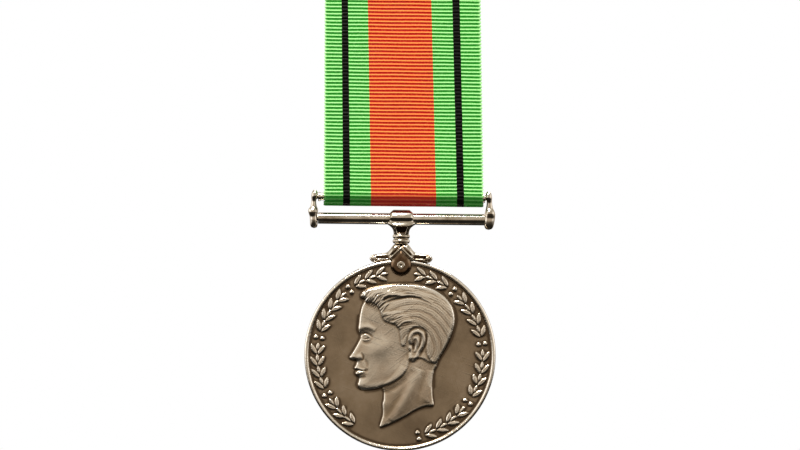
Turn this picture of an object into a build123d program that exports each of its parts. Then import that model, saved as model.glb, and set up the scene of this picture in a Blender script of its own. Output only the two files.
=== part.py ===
from build123d import *
import math
import os

# A full-size service medal, mounted for wear: a struck disc riveted into a claw, a straight bar suspender
# that swings in the fold of a ribbed ribbon, and a pin brooch that the ribbon is sewn round.
# Millimetres, +Z up, -Y is the obverse. The origin is on the brooch pin's axis, in the medal's middle plane.

# ---------------------------------------------------------------- driving dimensions
overall_length = 98.0  # from the top of the ribbon to the bottom of the disc

disc_diameter = 36.0
disc_thickness = 3.0  # over the rims
rim_width = 0.8
rim_slope = 0.15  # the rim's inner wall leans by this much
field_sink = 0.4  # each field lies this far below its rim
disc_edge_bevel = 0.3

ribbon_width = 30.0
ribbon_thickness = 0.5  # over the ribs
ribbon_gap = 0.05  # between one layer of ribbon and what it lies on
hem_drop = 2.2  # the sewn hem and the layers with it run this far below the brooch plate
sway_gap = 1.1  # from the hinge line of the swaying ribbon up to the sewn layers
sway_start = 0.1  # from that hinge line down to the swaying ribbon
tail_setback = 0.6  # the ribbon's inner end stops this far short of the plate's top

rod_radius = 0.7  # the thin upper rod of the suspender
rod_slack = 0.2  # radial room between the rod and the ribbon's fold
rod_shoulder_step = 0.15
rod_shoulder_length = 0.4
slot_side_gap = 0.7  # between the ribbon's edge and each end lug
fold_to_boss = 0.93  # from the ribbon's fold down to the boss
bar_radius = 1.07  # the thick lower bar
bar_rise = 7.65  # of the bar's axis above the top of the disc
tenon_radius = 0.45
tenon_length = 0.7

button_lip = 0.93  # the domed button on the end of the bar stands out this far round it
button_thickness = 1.85
eye_lip = 0.9  # the smaller button on the end of the rod, likewise
eye_thickness = 1.3
button_land = 0.45  # the straight part of each button's edge, before its dome
lug_web_width = 2.1
lug_web_thickness = 1.0

boss_wall = 0.65  # of the barrel round the middle of the bar
boss_flat = 3.1  # its length at full radius
boss_length = 4.5
boss_edge_round = 0.15
stem_radius = 1.5  # at the stem's foot
stem_flare = 3.1  # the stem spreads this far along the bar on each side
stem_wrap = 0.35  # and rises this far up the bar's sides
stem_half_depth = 1.4
stem_scoop_radius = 2.2  # of the hollow down the stem's front and back
stem_scoop_depth = 0.45
stem_foot_rise = 4.8  # of the stem's foot above the top of the disc
spigot_radius = 0.95
spigot_depth = 0.8  # into the saddle

collar_radius = 1.62
collar_beads = 2
saddle_top_rise = 3.0  # of the saddle's flat top, and the collar's underside, above the top of the disc

rivet_inset = 1.05  # of the claw's rivet below the top of the disc
rivet_radius = 0.5
rivet_lip = 0.22  # its heads stand out this far round it
rivet_head_height = 0.22
rivet_dimple_radius = 0.3
toe_radius = 2.02
toe_thickness = 0.85
toe_bevel = 0.38

saddle_top_radius = 1.5
saddle_flare = 3.3  # the saddle's neck spreads this far along the feet on each side
saddle_neck_depth = 1.75  # half its size from front to back
saddle_half_width = 2.3
saddle_shoulder_rise = 1.75  # of the square block's top, above the top of the disc
saddle_shoulder_bevel = 0.45
saddle_wall = 0.5  # outside each face of the disc
saddle_skirt = 1.0  # the saddle reaches this far below the top of the disc before it is cut to the rim
hood_width = 0.45  # of the raised edge that follows each toe's peak
hood_setback = 0.2  # from the toe's face back to the hood's
hood_bevel = 0.18
foot_reach = 5.0  # from the middle to the centre of each scroll
foot_roll_radius = 0.95
foot_setback = 0.25  # from each face of the disc in to the feet
foot_edge_round = 0.2
scroll_groove_radius = 0.55
scroll_groove_width = 0.16
scroll_groove_depth = 0.2
flute_height = 0.5  # of the hollow along each foot, from the saddle to the scroll
flute_drop = 0.45  # from the foot's top down to the hollow

plate_height = 8.0
plate_thickness = 0.8
plate_below_pin = 5.0
ear_gap = 0.35  # between the ribbon's edge and the plate's ears
ear_thickness = 0.8
ear_height = 4.4
ear_margin = 0.2  # the ears run this far behind what is soldered to them
ear_bend_radius = 0.6

bracket_thickness = 0.5
bracket_half_width = 1.3
hinge_rivet_radius = 0.4
hinge_rivet_lip = 0.35
hinge_rivet_head_height = 0.3
hinge_clearance = 0.05
pin_radius = 0.45
pin_eye_radius = 1.1
pin_eye_extra = 0.3  # the eye is thicker than the pin by this much
pin_eye_room = 0.65  # from the eye to the bracket's base
pin_taper_length = 3.5
pin_tip_radius = 0.12
pin_tip_gap = 0.3  # between the pin's point and the catch's foot

catch_length = 3.0
catch_room = 0.3  # radial room round the pin in the catch
catch_wall = 0.45
catch_slot_room = 0.15  # on each side of the pin as it passes through the slot
catch_lip_height = 0.25
catch_lip_length = 0.25
sleeve_clearance = 0.05
sleeve_wall = 0.45
sleeve_to_hem = 0.2  # between the catch's sleeve and the hem
lever_reach = 1.5
lever_width = 1.2
lever_thickness = 0.6

stitch_count = 14
stitch_length = 1.3
stitch_radius = 0.16

# ---------------------------------------------------------------- places worked out from them
disc_radius = disc_diameter / 2
half_ribbon = ribbon_width / 2

# Across the layers, in Y from the plate's middle plane.
front_inner = -(plate_thickness / 2 + ribbon_gap)
tail_inner = plate_thickness / 2 + ribbon_gap
hem_inner = tail_inner + ribbon_thickness + ribbon_gap
hem_outer = hem_inner + ribbon_thickness
turn_radius = (hem_inner - front_inner) / 2
turn_y = (hem_inner + front_inner) / 2

# The catch, radially from the pin's axis, and the plane that the disc and the suspender lie in.
catch_inner_radius = pin_radius + catch_room
catch_outer_radius = catch_inner_radius + catch_wall
sleeve_inner_radius = catch_outer_radius + sleeve_clearance
sleeve_outer_radius = sleeve_inner_radius + sleeve_wall
medal_y = -(hem_outer + sleeve_to_hem + sleeve_outer_radius)

# Up the ribbon, in Z from the pin's axis.
plate_top = plate_height - plate_below_pin
plate_bottom = -plate_below_pin
hem_end = plate_bottom - hem_drop
sway_z = hem_end - sway_gap
ribbon_top = plate_top + turn_radius + ribbon_thickness
disc_z = ribbon_top - overall_length + disc_radius

# The suspender, in Z from the disc's centre.
rivet_height = disc_radius - rivet_inset
saddle_top = disc_radius + saddle_top_rise
stem_foot = disc_radius + stem_foot_rise
bar_height = disc_radius + bar_rise
boss_radius = bar_radius + boss_wall
fold_inner = rod_radius + rod_slack
fold_outer = fold_inner + ribbon_thickness
rod_height = bar_height + boss_radius + fold_to_boss + fold_outer
rod_z = disc_z + rod_height
bar_z = disc_z + bar_height

# Across the brooch and the suspender, in X from the middle.
slot_half = half_ribbon + slot_side_gap
ear_inner = half_ribbon + ear_gap
ear_behind_pin = bracket_half_width + ear_margin
hinge_x = -(ear_inner - bracket_thickness - pin_eye_room - pin_eye_radius)
catch_foot_x = ear_inner - bracket_thickness
catch_mouth_x = catch_foot_x - catch_length
pin_tip_x = catch_foot_x - pin_tip_gap
pin_taper_x = pin_tip_x - pin_taper_length
pin_eye_half = pin_radius + pin_eye_extra / 2


def cylinder_x(radius, start, end, y=0.0, z=0.0):
    """A cylinder along X between two stations."""
    middle = (start + end) / 2
    return Pos(middle, y, z) * Rot(0, 90, 0) * Cylinder(radius, abs(end - start))


def cylinder_y(radius, start, end, x=0.0, z=0.0):
    """A cylinder along Y between two stations."""
    middle = (start + end) / 2
    return Pos(x, middle, z) * Rot(90, 0, 0) * Cylinder(radius, abs(end - start))


def block(low, high):
    """A box between two corners."""
    size = [b - a for a, b in zip(low, high)]
    middle = [(a + b) / 2 for a, b in zip(low, high)]
    return Pos(*middle) * Box(*size)


def on_disc(shape):
    """Moves a shape drawn about the disc's centre to its place below the brooch."""
    return Pos(0, medal_y, disc_z) * shape


# ---------------------------------------------------------------- the struck disc
def medal_disc():
    """A flat blank with a raised rim on both faces, drilled near its top for the claw's rivet."""
    half = disc_thickness / 2
    field = half - field_sink
    inner = disc_radius - rim_width
    shoulder = disc_radius - disc_edge_bevel
    outline = Polyline(
        (0, -field),
        (inner - rim_slope, -field),
        (inner, -half),
        (shoulder, -half),
        (disc_radius, -half + disc_edge_bevel),
        (disc_radius, half - disc_edge_bevel),
        (shoulder, half),
        (inner, half),
        (inner - rim_slope, field),
        (0, field),
        close=True,
    )
    disc = revolve(make_face(outline), Axis.Y)
    return on_disc(disc - cylinder_y(rivet_radius, -disc_thickness, disc_thickness, z=rivet_height))


# ---------------------------------------------------------------- the claw
def facing(side, shape, start):
    """Stands a shape drawn in XY on one face of the disc, with its outer face outwards, at the rivet."""
    turned = Rot(90, 0, 0) * shape
    if side > 0:
        turned = Rot(0, 0, 180) * turned
    return Pos(0, side * start, rivet_height) * turned


def bevelled(outline, thickness, bevel):
    """A plate with a bevel round its upper face."""
    plate = extrude(outline, thickness)
    return chamfer(plate.faces().sort_by(Axis.Z)[-1].edges(), bevel)


def toe(side):
    """One toe of the claw: a round plate with a right-angled peak, bevelled on its outer face."""
    peak = toe_radius * math.sqrt(2)
    flank = toe_radius / math.sqrt(2)
    outline = make_face(
        ThreePointArc((-flank, flank), (0, -toe_radius), (flank, flank))
        + Polyline((flank, flank), (0, peak), (-flank, flank))
    )
    plate = facing(side, bevelled(outline, toe_thickness, toe_bevel), disc_thickness / 2)
    return plate - cylinder_y(rivet_radius, -2 * disc_thickness, 2 * disc_thickness, z=rivet_height)


def hood(side):
    """The raised edge on the saddle that follows a toe's peak down to the rim."""
    peak = (toe_radius + hood_width) * math.sqrt(2)
    outline = make_face(
        Polyline(
            (0, peak),
            (-saddle_half_width, peak - saddle_half_width),
            (saddle_half_width, peak - saddle_half_width),
            close=True,
        )
    )
    return facing(side, bevelled(outline, toe_thickness - hood_setback, hood_bevel), disc_thickness / 2)


def claw_rivet():
    """A rivet through both toes and the disc, its heads turned over to a ring with a dimple inside."""
    face = disc_thickness / 2 + toe_thickness
    outer = face + rivet_head_height
    head_radius = rivet_radius + rivet_lip
    rivet = cylinder_y(rivet_radius, -face, face, z=rivet_height)
    for side in (-1, 1):
        head = cylinder_y(head_radius, side * face, side * outer, z=rivet_height)
        outer_face = head.faces().sort_by(Axis.Y)[-1 if side > 0 else 0]
        rivet = rivet + chamfer(outer_face.edges(), rivet_head_height / 2)
        dimple = Rot(90, 0, 0) * Cone(0.05, rivet_dimple_radius, rivet_head_height)
        if side > 0:
            dimple = Rot(0, 0, 180) * dimple
        rivet = rivet - Pos(0, side * (outer - rivet_head_height / 2), rivet_height) * dimple
    return on_disc(rivet)


def foot_roll_z():
    """The height of a scroll's centre when the scroll rests on the rim."""
    return math.sqrt((disc_radius + foot_roll_radius) ** 2 - foot_reach**2)


def foot_arm_top():
    return foot_roll_z() + foot_roll_radius


def scroll_foot(side):
    """An arm along the rim that ends in a scroll, with a groove round the scroll's eye and a hollow along the arm."""
    half_depth = disc_thickness / 2 - foot_setback
    roll_x = side * foot_reach
    roll_z, arm_top = foot_roll_z(), foot_arm_top()
    roll = cylinder_y(foot_roll_radius, -half_depth, half_depth, roll_x, roll_z)
    rest_x = roll_x * disc_radius / (disc_radius + foot_roll_radius)
    arm_low = disc_radius - saddle_skirt
    arm = block((min(0, rest_x), -half_depth, arm_low), (max(0, rest_x), half_depth, roll_z))
    crown = block((min(0, roll_x), -half_depth, roll_z), (max(0, roll_x), half_depth, arm_top))
    foot = roll + crown + arm
    foot = fillet([e for f in foot.faces().filter_by(Axis.Y) for e in f.edges()], foot_edge_round)
    for face in (-1, 1):
        start, end = face * half_depth, face * (half_depth - scroll_groove_depth)
        groove = cylinder_y(scroll_groove_radius, start, end, roll_x, roll_z)
        groove = groove - cylinder_y(scroll_groove_radius - scroll_groove_width, start, end, roll_x, roll_z)
        flute_top = arm_top - flute_drop
        flute_x = roll_x - side * scroll_groove_radius / 2
        flute = block(
            (min(0, flute_x), min(start, end), flute_top - flute_height),
            (max(0, flute_x), max(start, end), flute_top),
        )
        eye = cylinder_y(scroll_groove_radius - scroll_groove_width, start, end, roll_x, roll_z)
        foot = foot - groove - (flute - eye)
    return foot


def flared_neck(radius, top, reach, foot, half_depth):
    """A neck that is round at one end and spreads in a curve at the other, cut flat in front and behind."""
    rise = top - foot
    profile = make_face(
        Polyline((reach, foot), (0, foot), (0, top), (radius, top))
        + Spline((radius, top), (reach, foot), tangents=((0, -rise), (abs(rise), -0.25 * rise)))
    )
    turned = revolve(Plane.XZ * profile, Axis.Z)
    low, high = sorted((top, foot))
    return turned & block((-reach, -half_depth, low), (reach, half_depth, high))


def claw_saddle():
    """The block on the rim: a round neck under the collar that spreads into a scroll foot on each side."""
    half_depth = disc_thickness / 2 + saddle_wall
    neck = flared_neck(saddle_top_radius, saddle_top, saddle_flare, foot_arm_top(), saddle_neck_depth)
    saddle = block(
        (-saddle_half_width, -half_depth, disc_radius - saddle_skirt),
        (saddle_half_width, half_depth, disc_radius + saddle_shoulder_rise),
    )
    saddle = chamfer(saddle.faces().sort_by(Axis.Z)[-1].edges(), saddle_shoulder_bevel) + neck
    for side in (-1, 1):
        saddle = saddle + scroll_foot(side) + hood(side)
    saddle = saddle - cylinder_y(disc_radius, -2 * half_depth, 2 * half_depth)
    for side in (-1, 1):
        saddle = saddle - toe(side)
    socket = Pos(0, 0, saddle_top - spigot_depth / 2) * Cylinder(spigot_radius, spigot_depth)
    return on_disc(saddle - socket)


# ---------------------------------------------------------------- the suspender
def stem_collar():
    """Round beads with a bore, threaded on the stem's spigot between the stem and the saddle."""
    height = (stem_foot - saddle_top) / collar_beads
    core_radius = collar_radius - height / 3
    collar = Part()
    for bead in range(collar_beads):
        low = saddle_top + bead * height
        high = low + height
        section = make_face(
            ThreePointArc((core_radius, low), (collar_radius, low + height / 2), (core_radius, high))
            + Polyline((core_radius, high), (spigot_radius, high), (spigot_radius, low), (core_radius, low))
        )
        collar = collar + revolve(Plane.XZ * section, Axis.Z)
    return on_disc(collar)


def bar_boss():
    """A barrel round the middle of the bar, a scooped stem below it, and a spigot that fixes the claw."""
    half_flat, half = boss_flat / 2, boss_length / 2
    outline = Polyline(
        (-half, 0),
        (half, 0),
        (half, bar_radius),
        (half_flat, boss_radius),
        (-half_flat, boss_radius),
        (-half, bar_radius),
        close=True,
    )
    barrel = revolve(make_face(outline), Axis.X)
    rims = [e for e in barrel.edges().filter_by(GeomType.CIRCLE) if e.radius > bar_radius + boss_edge_round]
    barrel = Pos(0, 0, bar_height) * fillet(rims, boss_edge_round)
    flare_end = bar_height - bar_radius + stem_wrap
    stem = flared_neck(stem_radius, stem_foot, stem_flare, flare_end, stem_half_depth)
    stem = stem + Pos(0, 0, (stem_foot + bar_height) / 2) * Cylinder(stem_half_depth, bar_height - stem_foot)
    scoop_y = stem_half_depth + stem_scoop_radius - stem_scoop_depth
    scoop = Pos(0, scoop_y, stem_foot) * Cylinder(stem_scoop_radius, 2 * bar_rise)
    stem = stem - scoop - mirror(scoop, Plane.XZ)
    spigot_foot = saddle_top - spigot_depth
    spigot_length = stem_foot - spigot_foot
    spigot = Pos(0, 0, spigot_foot + spigot_length / 2) * Cylinder(spigot_radius, spigot_length)
    bore = cylinder_x(bar_radius, -slot_half, slot_half, z=bar_height)
    return on_disc(barrel + stem + spigot - bore)


def tenoned_rod(radius, z, shoulder_step):
    """A rod across the slot, with a shoulder and a tenon at each end."""
    rod = cylinder_x(radius, -slot_half, slot_half, medal_y, z)
    for side in (-1, 1):
        end = side * slot_half
        rod = rod + cylinder_x(radius + shoulder_step, end, end - side * rod_shoulder_length, medal_y, z)
        rod = rod + cylinder_x(tenon_radius, end, end + side * tenon_length, medal_y, z)
    return rod


def top_rod():
    return tenoned_rod(rod_radius, rod_z, rod_shoulder_step)


def suspension_bar():
    return tenoned_rod(bar_radius, bar_z, 0.0)


def domed_button(radius, thickness):
    """A button along X with its inner face at x = 0: a straight land, then an elliptical dome."""
    crown = thickness - button_land
    diagonal = math.sqrt(0.5)
    outline = Polyline((thickness, 0), (0, 0), (0, radius), (button_land, radius)) + Spline(
        (button_land, radius),
        (button_land + crown * diagonal, radius * diagonal),
        (thickness, 0),
        tangents=((1, 0), (0, -1)),
    )
    return revolve(make_face(outline), Axis.X)


def end_lug(side):
    """The end of the suspender: a large button on the bar, a small one on the rod, and a web between them."""
    button = Pos(0, 0, bar_z) * domed_button(bar_radius + button_lip, button_thickness)
    eye = Pos(0, 0, rod_z) * domed_button(rod_radius + eye_lip, eye_thickness)
    web = block((0, -lug_web_width / 2, bar_z), (lug_web_thickness, lug_web_width / 2, rod_z))
    web = fillet(web.edges().filter_by(Axis.Z).group_by(Axis.X)[-1], lug_web_thickness / 3)
    lug = button + eye + web
    for z in (bar_z, rod_z):
        lug = lug - cylinder_x(tenon_radius, 0, tenon_length, z=z)
    lug = Pos(slot_half, medal_y, 0) * lug
    if side < 0:
        lug = mirror(lug, Plane.YZ)
    return lug


# ---------------------------------------------------------------- the ribbon
def ribbon_slab(corners):
    """A layer of ribbon, from the corners of its section in Y and Z."""
    section = make_face(Polyline(*[(0, medal_y + y, z) for y, z in corners], close=True))
    return extrude(section, half_ribbon, dir=(1, 0, 0), both=True)


def straight_layer(inner, outer, low, high):
    return ribbon_slab([(inner, low), (outer, low), (outer, high), (inner, high)])


def half_turn(radius, y, z, upward):
    """Ribbon bent half round an axis along X: over it where upward is 1, under it where upward is -1."""
    outer = radius + ribbon_thickness
    turn = cylinder_x(outer, -half_ribbon, half_ribbon, y, z)
    turn = turn - cylinder_x(radius, -half_ribbon, half_ribbon, y, z)
    low, high = sorted((z, z - 2 * upward * outer))
    return turn - block((-half_ribbon, y - 2 * outer, low), (half_ribbon, y + 2 * outer, high))


def ribbon_head():
    """The ribbon over the brooch: up the front of the plate, over its top, and down the back as a hem."""
    front = straight_layer(front_inner, front_inner - ribbon_thickness, hem_end, plate_top)
    hem = straight_layer(hem_inner, hem_outer, hem_end, plate_top)
    return front + half_turn(turn_radius, medal_y + turn_y, plate_top, 1) + hem


def ribbon_tail():
    """The ribbon's inner end, between the plate and the hem."""
    return straight_layer(tail_inner, tail_inner + ribbon_thickness, hem_end, plate_top - tail_setback)


def ribbon_fall(side):
    """One leg of the hanging ribbon, from the fold round the rod up to the brooch."""
    top = sway_z - sway_start
    upper = side * tail_inner
    lower = side * fold_inner
    outward = side * ribbon_thickness
    return ribbon_slab([(lower, rod_z), (lower + outward, rod_z), (upper + outward, top), (upper, top)])


def ribbon_fold():
    """The half turn of ribbon that the suspender's rod hangs in."""
    return half_turn(fold_inner, medal_y, rod_z, -1)


def hem_stitches():
    """A row of thread stitches lying on the hem's outer face."""
    spacing = ribbon_width / stitch_count
    y = medal_y + hem_outer + stitch_radius
    z = (plate_bottom + hem_end) / 2
    middles = [(n + 0.5) * spacing - half_ribbon for n in range(stitch_count)]
    half = stitch_length / 2
    return Compound(children=[cylinder_x(stitch_radius, x - half, x + half, y, z) for x in middles])


# ---------------------------------------------------------------- the brooch
def brooch_plate():
    """A strip with an ear bent back at each end, outside the ribbon's edges."""
    front = medal_y - plate_thickness / 2
    back = medal_y + plate_thickness / 2
    outer = ear_inner + ear_thickness
    channel = block((-outer, front, -ear_height / 2), (outer, ear_behind_pin, ear_height / 2))
    channel = fillet(channel.edges().filter_by(Axis.Z).group_by(Axis.Y)[0], ear_bend_radius)
    channel = channel - block((-ear_inner, back, -ear_height), (ear_inner, 2 * ear_behind_pin, ear_height))
    channel = fillet(channel.edges().filter_by(Axis.X).group_by(Axis.Y)[-1], ear_height / 6)
    return channel + block((-half_ribbon, front, plate_bottom), (half_ribbon, back, plate_top))


def hinge_bracket():
    """A small channel soldered inside the left ear; its two lugs hold the hinge rivet."""
    base_end = bracket_thickness - ear_inner
    lug_low = pin_eye_half + hinge_clearance
    lug_high = lug_low + bracket_thickness
    lug_radius = hinge_rivet_radius + bracket_thickness
    bracket = block((-ear_inner, -bracket_half_width, -lug_high), (base_end, bracket_half_width, lug_high))
    for side in (-1, 1):
        low, high = sorted((side * lug_low, side * lug_high))
        bracket = bracket + block((base_end, -lug_radius, low), (hinge_x, lug_radius, high))
        bracket = bracket + Pos(hinge_x, 0, (low + high) / 2) * Cylinder(lug_radius, bracket_thickness)
    return bracket - Pos(hinge_x, 0, 0) * Cylinder(hinge_rivet_radius, 4 * lug_high)


def hinge_rivet():
    """The hinge rivet, with a rounded head outside each lug."""
    reach = pin_eye_half + hinge_clearance + bracket_thickness
    rivet = Cylinder(hinge_rivet_radius, 2 * reach)
    for side in (-1, 1):
        head = Cylinder(hinge_rivet_radius + hinge_rivet_lip, hinge_rivet_head_height)
        outer_face = head.faces().sort_by(Axis.Z)[-1 if side > 0 else 0]
        head = fillet(outer_face.edges(), hinge_rivet_head_height / 2)
        rivet = rivet + Pos(0, 0, side * (reach + hinge_rivet_head_height / 2)) * head
    return Pos(hinge_x, 0, 0) * rivet


def brooch_pin():
    """The pin: a flat eye on the hinge rivet, a round shank, and a long taper into the catch."""
    eye = Pos(hinge_x, 0, 0) * Cylinder(pin_eye_radius, 2 * pin_eye_half)
    shank = cylinder_x(pin_radius, hinge_x, pin_taper_x)
    taper = revolve(
        make_face(
            Polyline(
                (pin_taper_x, 0),
                (pin_taper_x, pin_radius),
                (pin_tip_x - pin_tip_radius, pin_tip_radius),
                (pin_tip_x, 0),
                close=True,
            )
        ),
        Axis.X,
    )
    hole = Pos(hinge_x, 0, 0) * Cylinder(hinge_rivet_radius + hinge_clearance, 4 * pin_eye_half)
    return eye + shank + taper - hole


def catch_tube():
    """The fixed half of the catch: a slotted tube with a lip, on a foot soldered inside the right ear."""
    half = bracket_half_width
    lip_radius = catch_outer_radius + catch_lip_height
    half_slot = pin_radius + catch_slot_room
    foot = block((catch_foot_x, -half, -half), (ear_inner, half, half))
    tube = cylinder_x(catch_outer_radius, catch_mouth_x, catch_foot_x)
    tube = tube + cylinder_x(lip_radius, catch_mouth_x, catch_mouth_x + catch_lip_length)
    tube = tube - cylinder_x(catch_inner_radius, catch_mouth_x, catch_foot_x)
    return foot + (tube - block((catch_mouth_x, 0, -half_slot), (catch_foot_x, 2 * lip_radius, half_slot)))


def catch_sleeve():
    """The turning half of the catch: a slotted sleeve with a thumb lever, its slot open for the pin."""
    start = catch_mouth_x + catch_lip_length + sleeve_clearance
    end = catch_foot_x - sleeve_clearance
    middle = (start + end) / 2
    half_slot = pin_radius + catch_slot_room + sleeve_clearance
    sleeve = cylinder_x(sleeve_outer_radius, start, end) - cylinder_x(sleeve_inner_radius, start, end)
    sleeve = sleeve - block((start, 0, -half_slot), (end, 2 * sleeve_outer_radius, half_slot))
    lever = block(
        (middle - lever_width / 2, -lever_thickness / 2, -(sleeve_outer_radius + lever_reach)),
        (middle + lever_width / 2, lever_thickness / 2, -(sleeve_inner_radius + sleeve_wall / 3)),
    )
    return sleeve + fillet(lever.edges().filter_by(Axis.Y).group_by(Axis.Z)[0], lever_width / 3)


parts = {
    "brooch_plate": brooch_plate(),
    "hinge_bracket": hinge_bracket(),
    "hinge_rivet": hinge_rivet(),
    "brooch_pin": brooch_pin(),
    "catch_tube": catch_tube(),
    "catch_sleeve": catch_sleeve(),
    "ribbon_head": ribbon_head(),
    "ribbon_tail": ribbon_tail(),
    "hem_stitches": hem_stitches(),
    "ribbon_front_fall": ribbon_fall(-1),
    "ribbon_back_fall": ribbon_fall(1),
    "ribbon_fold": ribbon_fold(),
    "top_rod": top_rod(),
    "suspension_bar": suspension_bar(),
    "left_end_lug": end_lug(-1),
    "right_end_lug": end_lug(1),
    "bar_boss": bar_boss(),
    "stem_collar": stem_collar(),
    "claw_saddle": claw_saddle(),
    "claw_front_toe": on_disc(toe(-1)),
    "claw_back_toe": on_disc(toe(1)),
    "claw_rivet": claw_rivet(),
    "medal_disc": medal_disc(),
}

os.makedirs("parts", exist_ok=True)
for name, shape in parts.items():
    export_step(shape, f"parts/{name}.step")
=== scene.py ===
"""A military service medal on its ribbon and wearing brooch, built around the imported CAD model.

The sections follow the medal as it is put together: the brooch, its pin and its catch, the ribbon and
its stitches, the suspender, the claw and the struck disc, and last the studio it is shown in.
All lengths are in metres, in the CAD model's own frame: +Z up, the obverse towards -Y.
"""

import bpy
import math
import numpy as np
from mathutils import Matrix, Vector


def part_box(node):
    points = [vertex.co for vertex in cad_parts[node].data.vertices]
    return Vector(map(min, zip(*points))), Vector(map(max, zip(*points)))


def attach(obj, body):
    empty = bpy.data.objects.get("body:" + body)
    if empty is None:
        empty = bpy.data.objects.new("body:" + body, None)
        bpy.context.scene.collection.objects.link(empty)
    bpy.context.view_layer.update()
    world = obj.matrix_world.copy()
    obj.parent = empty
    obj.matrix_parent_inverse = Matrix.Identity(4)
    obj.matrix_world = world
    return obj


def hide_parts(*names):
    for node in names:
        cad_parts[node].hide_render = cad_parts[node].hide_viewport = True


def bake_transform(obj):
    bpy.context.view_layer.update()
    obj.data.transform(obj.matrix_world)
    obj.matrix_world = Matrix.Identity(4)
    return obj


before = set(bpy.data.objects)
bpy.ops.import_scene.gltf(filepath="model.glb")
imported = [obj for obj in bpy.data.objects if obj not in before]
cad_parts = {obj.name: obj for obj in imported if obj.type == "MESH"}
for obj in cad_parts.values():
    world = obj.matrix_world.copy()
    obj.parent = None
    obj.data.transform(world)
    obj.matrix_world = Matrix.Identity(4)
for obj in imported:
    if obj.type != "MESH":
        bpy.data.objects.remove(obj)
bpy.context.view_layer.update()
MM = 0.001

# ------------------------------------------------------------------------------------------------------------
# BROOCH: a strip of brass sheet with an ear bent back at each end, nickel plated, with the hinge bracket and
# the catch's tube soldered to the ears. Blanked, bent and barrel plated, so it is bright with a faint grain.
# ------------------------------------------------------------------------------------------------------------


def linear(hex_colour, alpha=1.0):
    """An sRGB hex colour as the linear values that a shader takes."""
    parts = [int(hex_colour[i : i + 2], 16) / 255 for i in (1, 3, 5)]
    return [p / 12.92 if p <= 0.04045 else ((p + 0.055) / 1.055) ** 2.4 for p in parts] + [alpha]


def add(tree, kind, values=None, links=None, stops=(), **settings):
    """Adds one node of a kind, with its settings, its own socket values and its incoming links.
    stops are a colour ramp's, as (position, colour): the colour is sRGB hex, or three linear values for light."""
    node = tree.nodes.new(kind)
    for name, value in settings.items():
        setattr(node, name, value)
    for key, value in (values or {}).items():
        node.inputs[key].default_value = value
    for key, source in (links or {}).items():
        tree.links.new(source, node.inputs[key])
    for i, (position, colour) in enumerate(stops):
        stop = node.color_ramp.elements[i] if i < 2 else node.color_ramp.elements.new(position)
        stop.position, stop.color = position, linear(colour) if isinstance(colour, str) else (*colour, 1)
    return node


def new_material(name):
    """An empty node material, with its tree, its principled shader and the object's own coordinates."""
    material = bpy.data.materials.new(name)
    material.use_nodes = True
    tree = material.node_tree
    tree.nodes.clear()
    shader = add(tree, "ShaderNodeBsdfPrincipled")
    add(tree, "ShaderNodeOutputMaterial", links={"Surface": shader.outputs[0]})
    place = add(tree, "ShaderNodeTexCoord").outputs["Object"]
    return material, tree, shader, place


def metal(name, colours, roughness, grain, relief, speckle=0.0):
    """A metal whose colour and roughness drift over it, with fine bumps.
    colours runs from stained to clean, roughness is (clean, stained), grain is the bumps' size and relief
    their depth, both in millimetres. speckle is the share of small pits."""
    material, tree, shader, place = new_material(name)
    shader.inputs["Metallic"].default_value = 1.0
    drift = add(tree, "ShaderNodeTexNoise", {"Scale": 1 / (3.1 * MM), "Detail": 5.0, "Roughness": 0.62},
                {"Vector": place})
    tinted = add(tree, "ShaderNodeValToRGB", links={"Fac": drift.outputs[0]},
                 stops=[(0.34, colours[0]), (0.5, colours[1]), (0.66, colours[2])])
    tree.links.new(tinted.outputs["Color"], shader.inputs["Base Color"])
    rough = add(tree, "ShaderNodeMapRange",
                {"From Min": 0.35, "From Max": 0.65, "To Min": roughness[1], "To Max": roughness[0]},
                {"Value": drift.outputs[0]})
    tree.links.new(rough.outputs[0], shader.inputs["Roughness"])
    fine = add(tree, "ShaderNodeTexNoise", {"Scale": 1 / (grain * MM), "Detail": 3.0, "Roughness": 0.6},
               {"Vector": place})
    height = fine.outputs[0]
    if speckle:
        pits = add(tree, "ShaderNodeTexVoronoi", {"Scale": 1 / (0.42 * MM), "Randomness": 1.0},
                   {"Vector": place})
        pit = add(tree, "ShaderNodeMapRange",
                  {"From Min": 0.0, "From Max": 0.34, "To Min": -speckle, "To Max": 0.0},
                  {"Value": pits.outputs["Distance"]})
        height = add(tree, "ShaderNodeMath", links={0: height, 1: pit.outputs[0]}, operation="ADD").outputs[0]
    bump = add(tree, "ShaderNodeBump", {"Strength": 1.0, "Distance": relief * MM}, {"Height": height})
    tree.links.new(bump.outputs[0], shader.inputs["Normal"])
    return material


def finish_nodes(material, *nodes):
    """Gives CAD nodes this material in place of the plain one that they came with."""
    for node in nodes:
        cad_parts[node].data.materials.clear()
        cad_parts[node].data.materials.append(material)


# Nickel plate over blanked brass: warm grey-white, softly bright, with the faint waviness of the sheet.
nickel_plate = metal("nickel plated brass, blanked and bent", ("#8e8676", "#b8b2a6", "#cfcac0"), (0.2, 0.36),
                     0.9, 0.03)
finish_nodes(nickel_plate, "brooch_plate", "hinge_bracket", "catch_tube", "catch_sleeve")

# Turned nickel-silver rivet: brighter than the plate where the punch has polished its heads.
turned_rivet = metal("nickel silver rivet, headed cold", ("#938b7c", "#c2bcb0", "#dcd8cf"), (0.14, 0.3), 0.5,
                     0.02)
finish_nodes(turned_rivet, "hinge_rivet")

# ------------------------------------------------------------------------------------------------------------
# PIN: hard-drawn spring wire with a flattened eye and a ground point, polished along its length. The wire's
# drawing lines run along X.
# ------------------------------------------------------------------------------------------------------------

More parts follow.
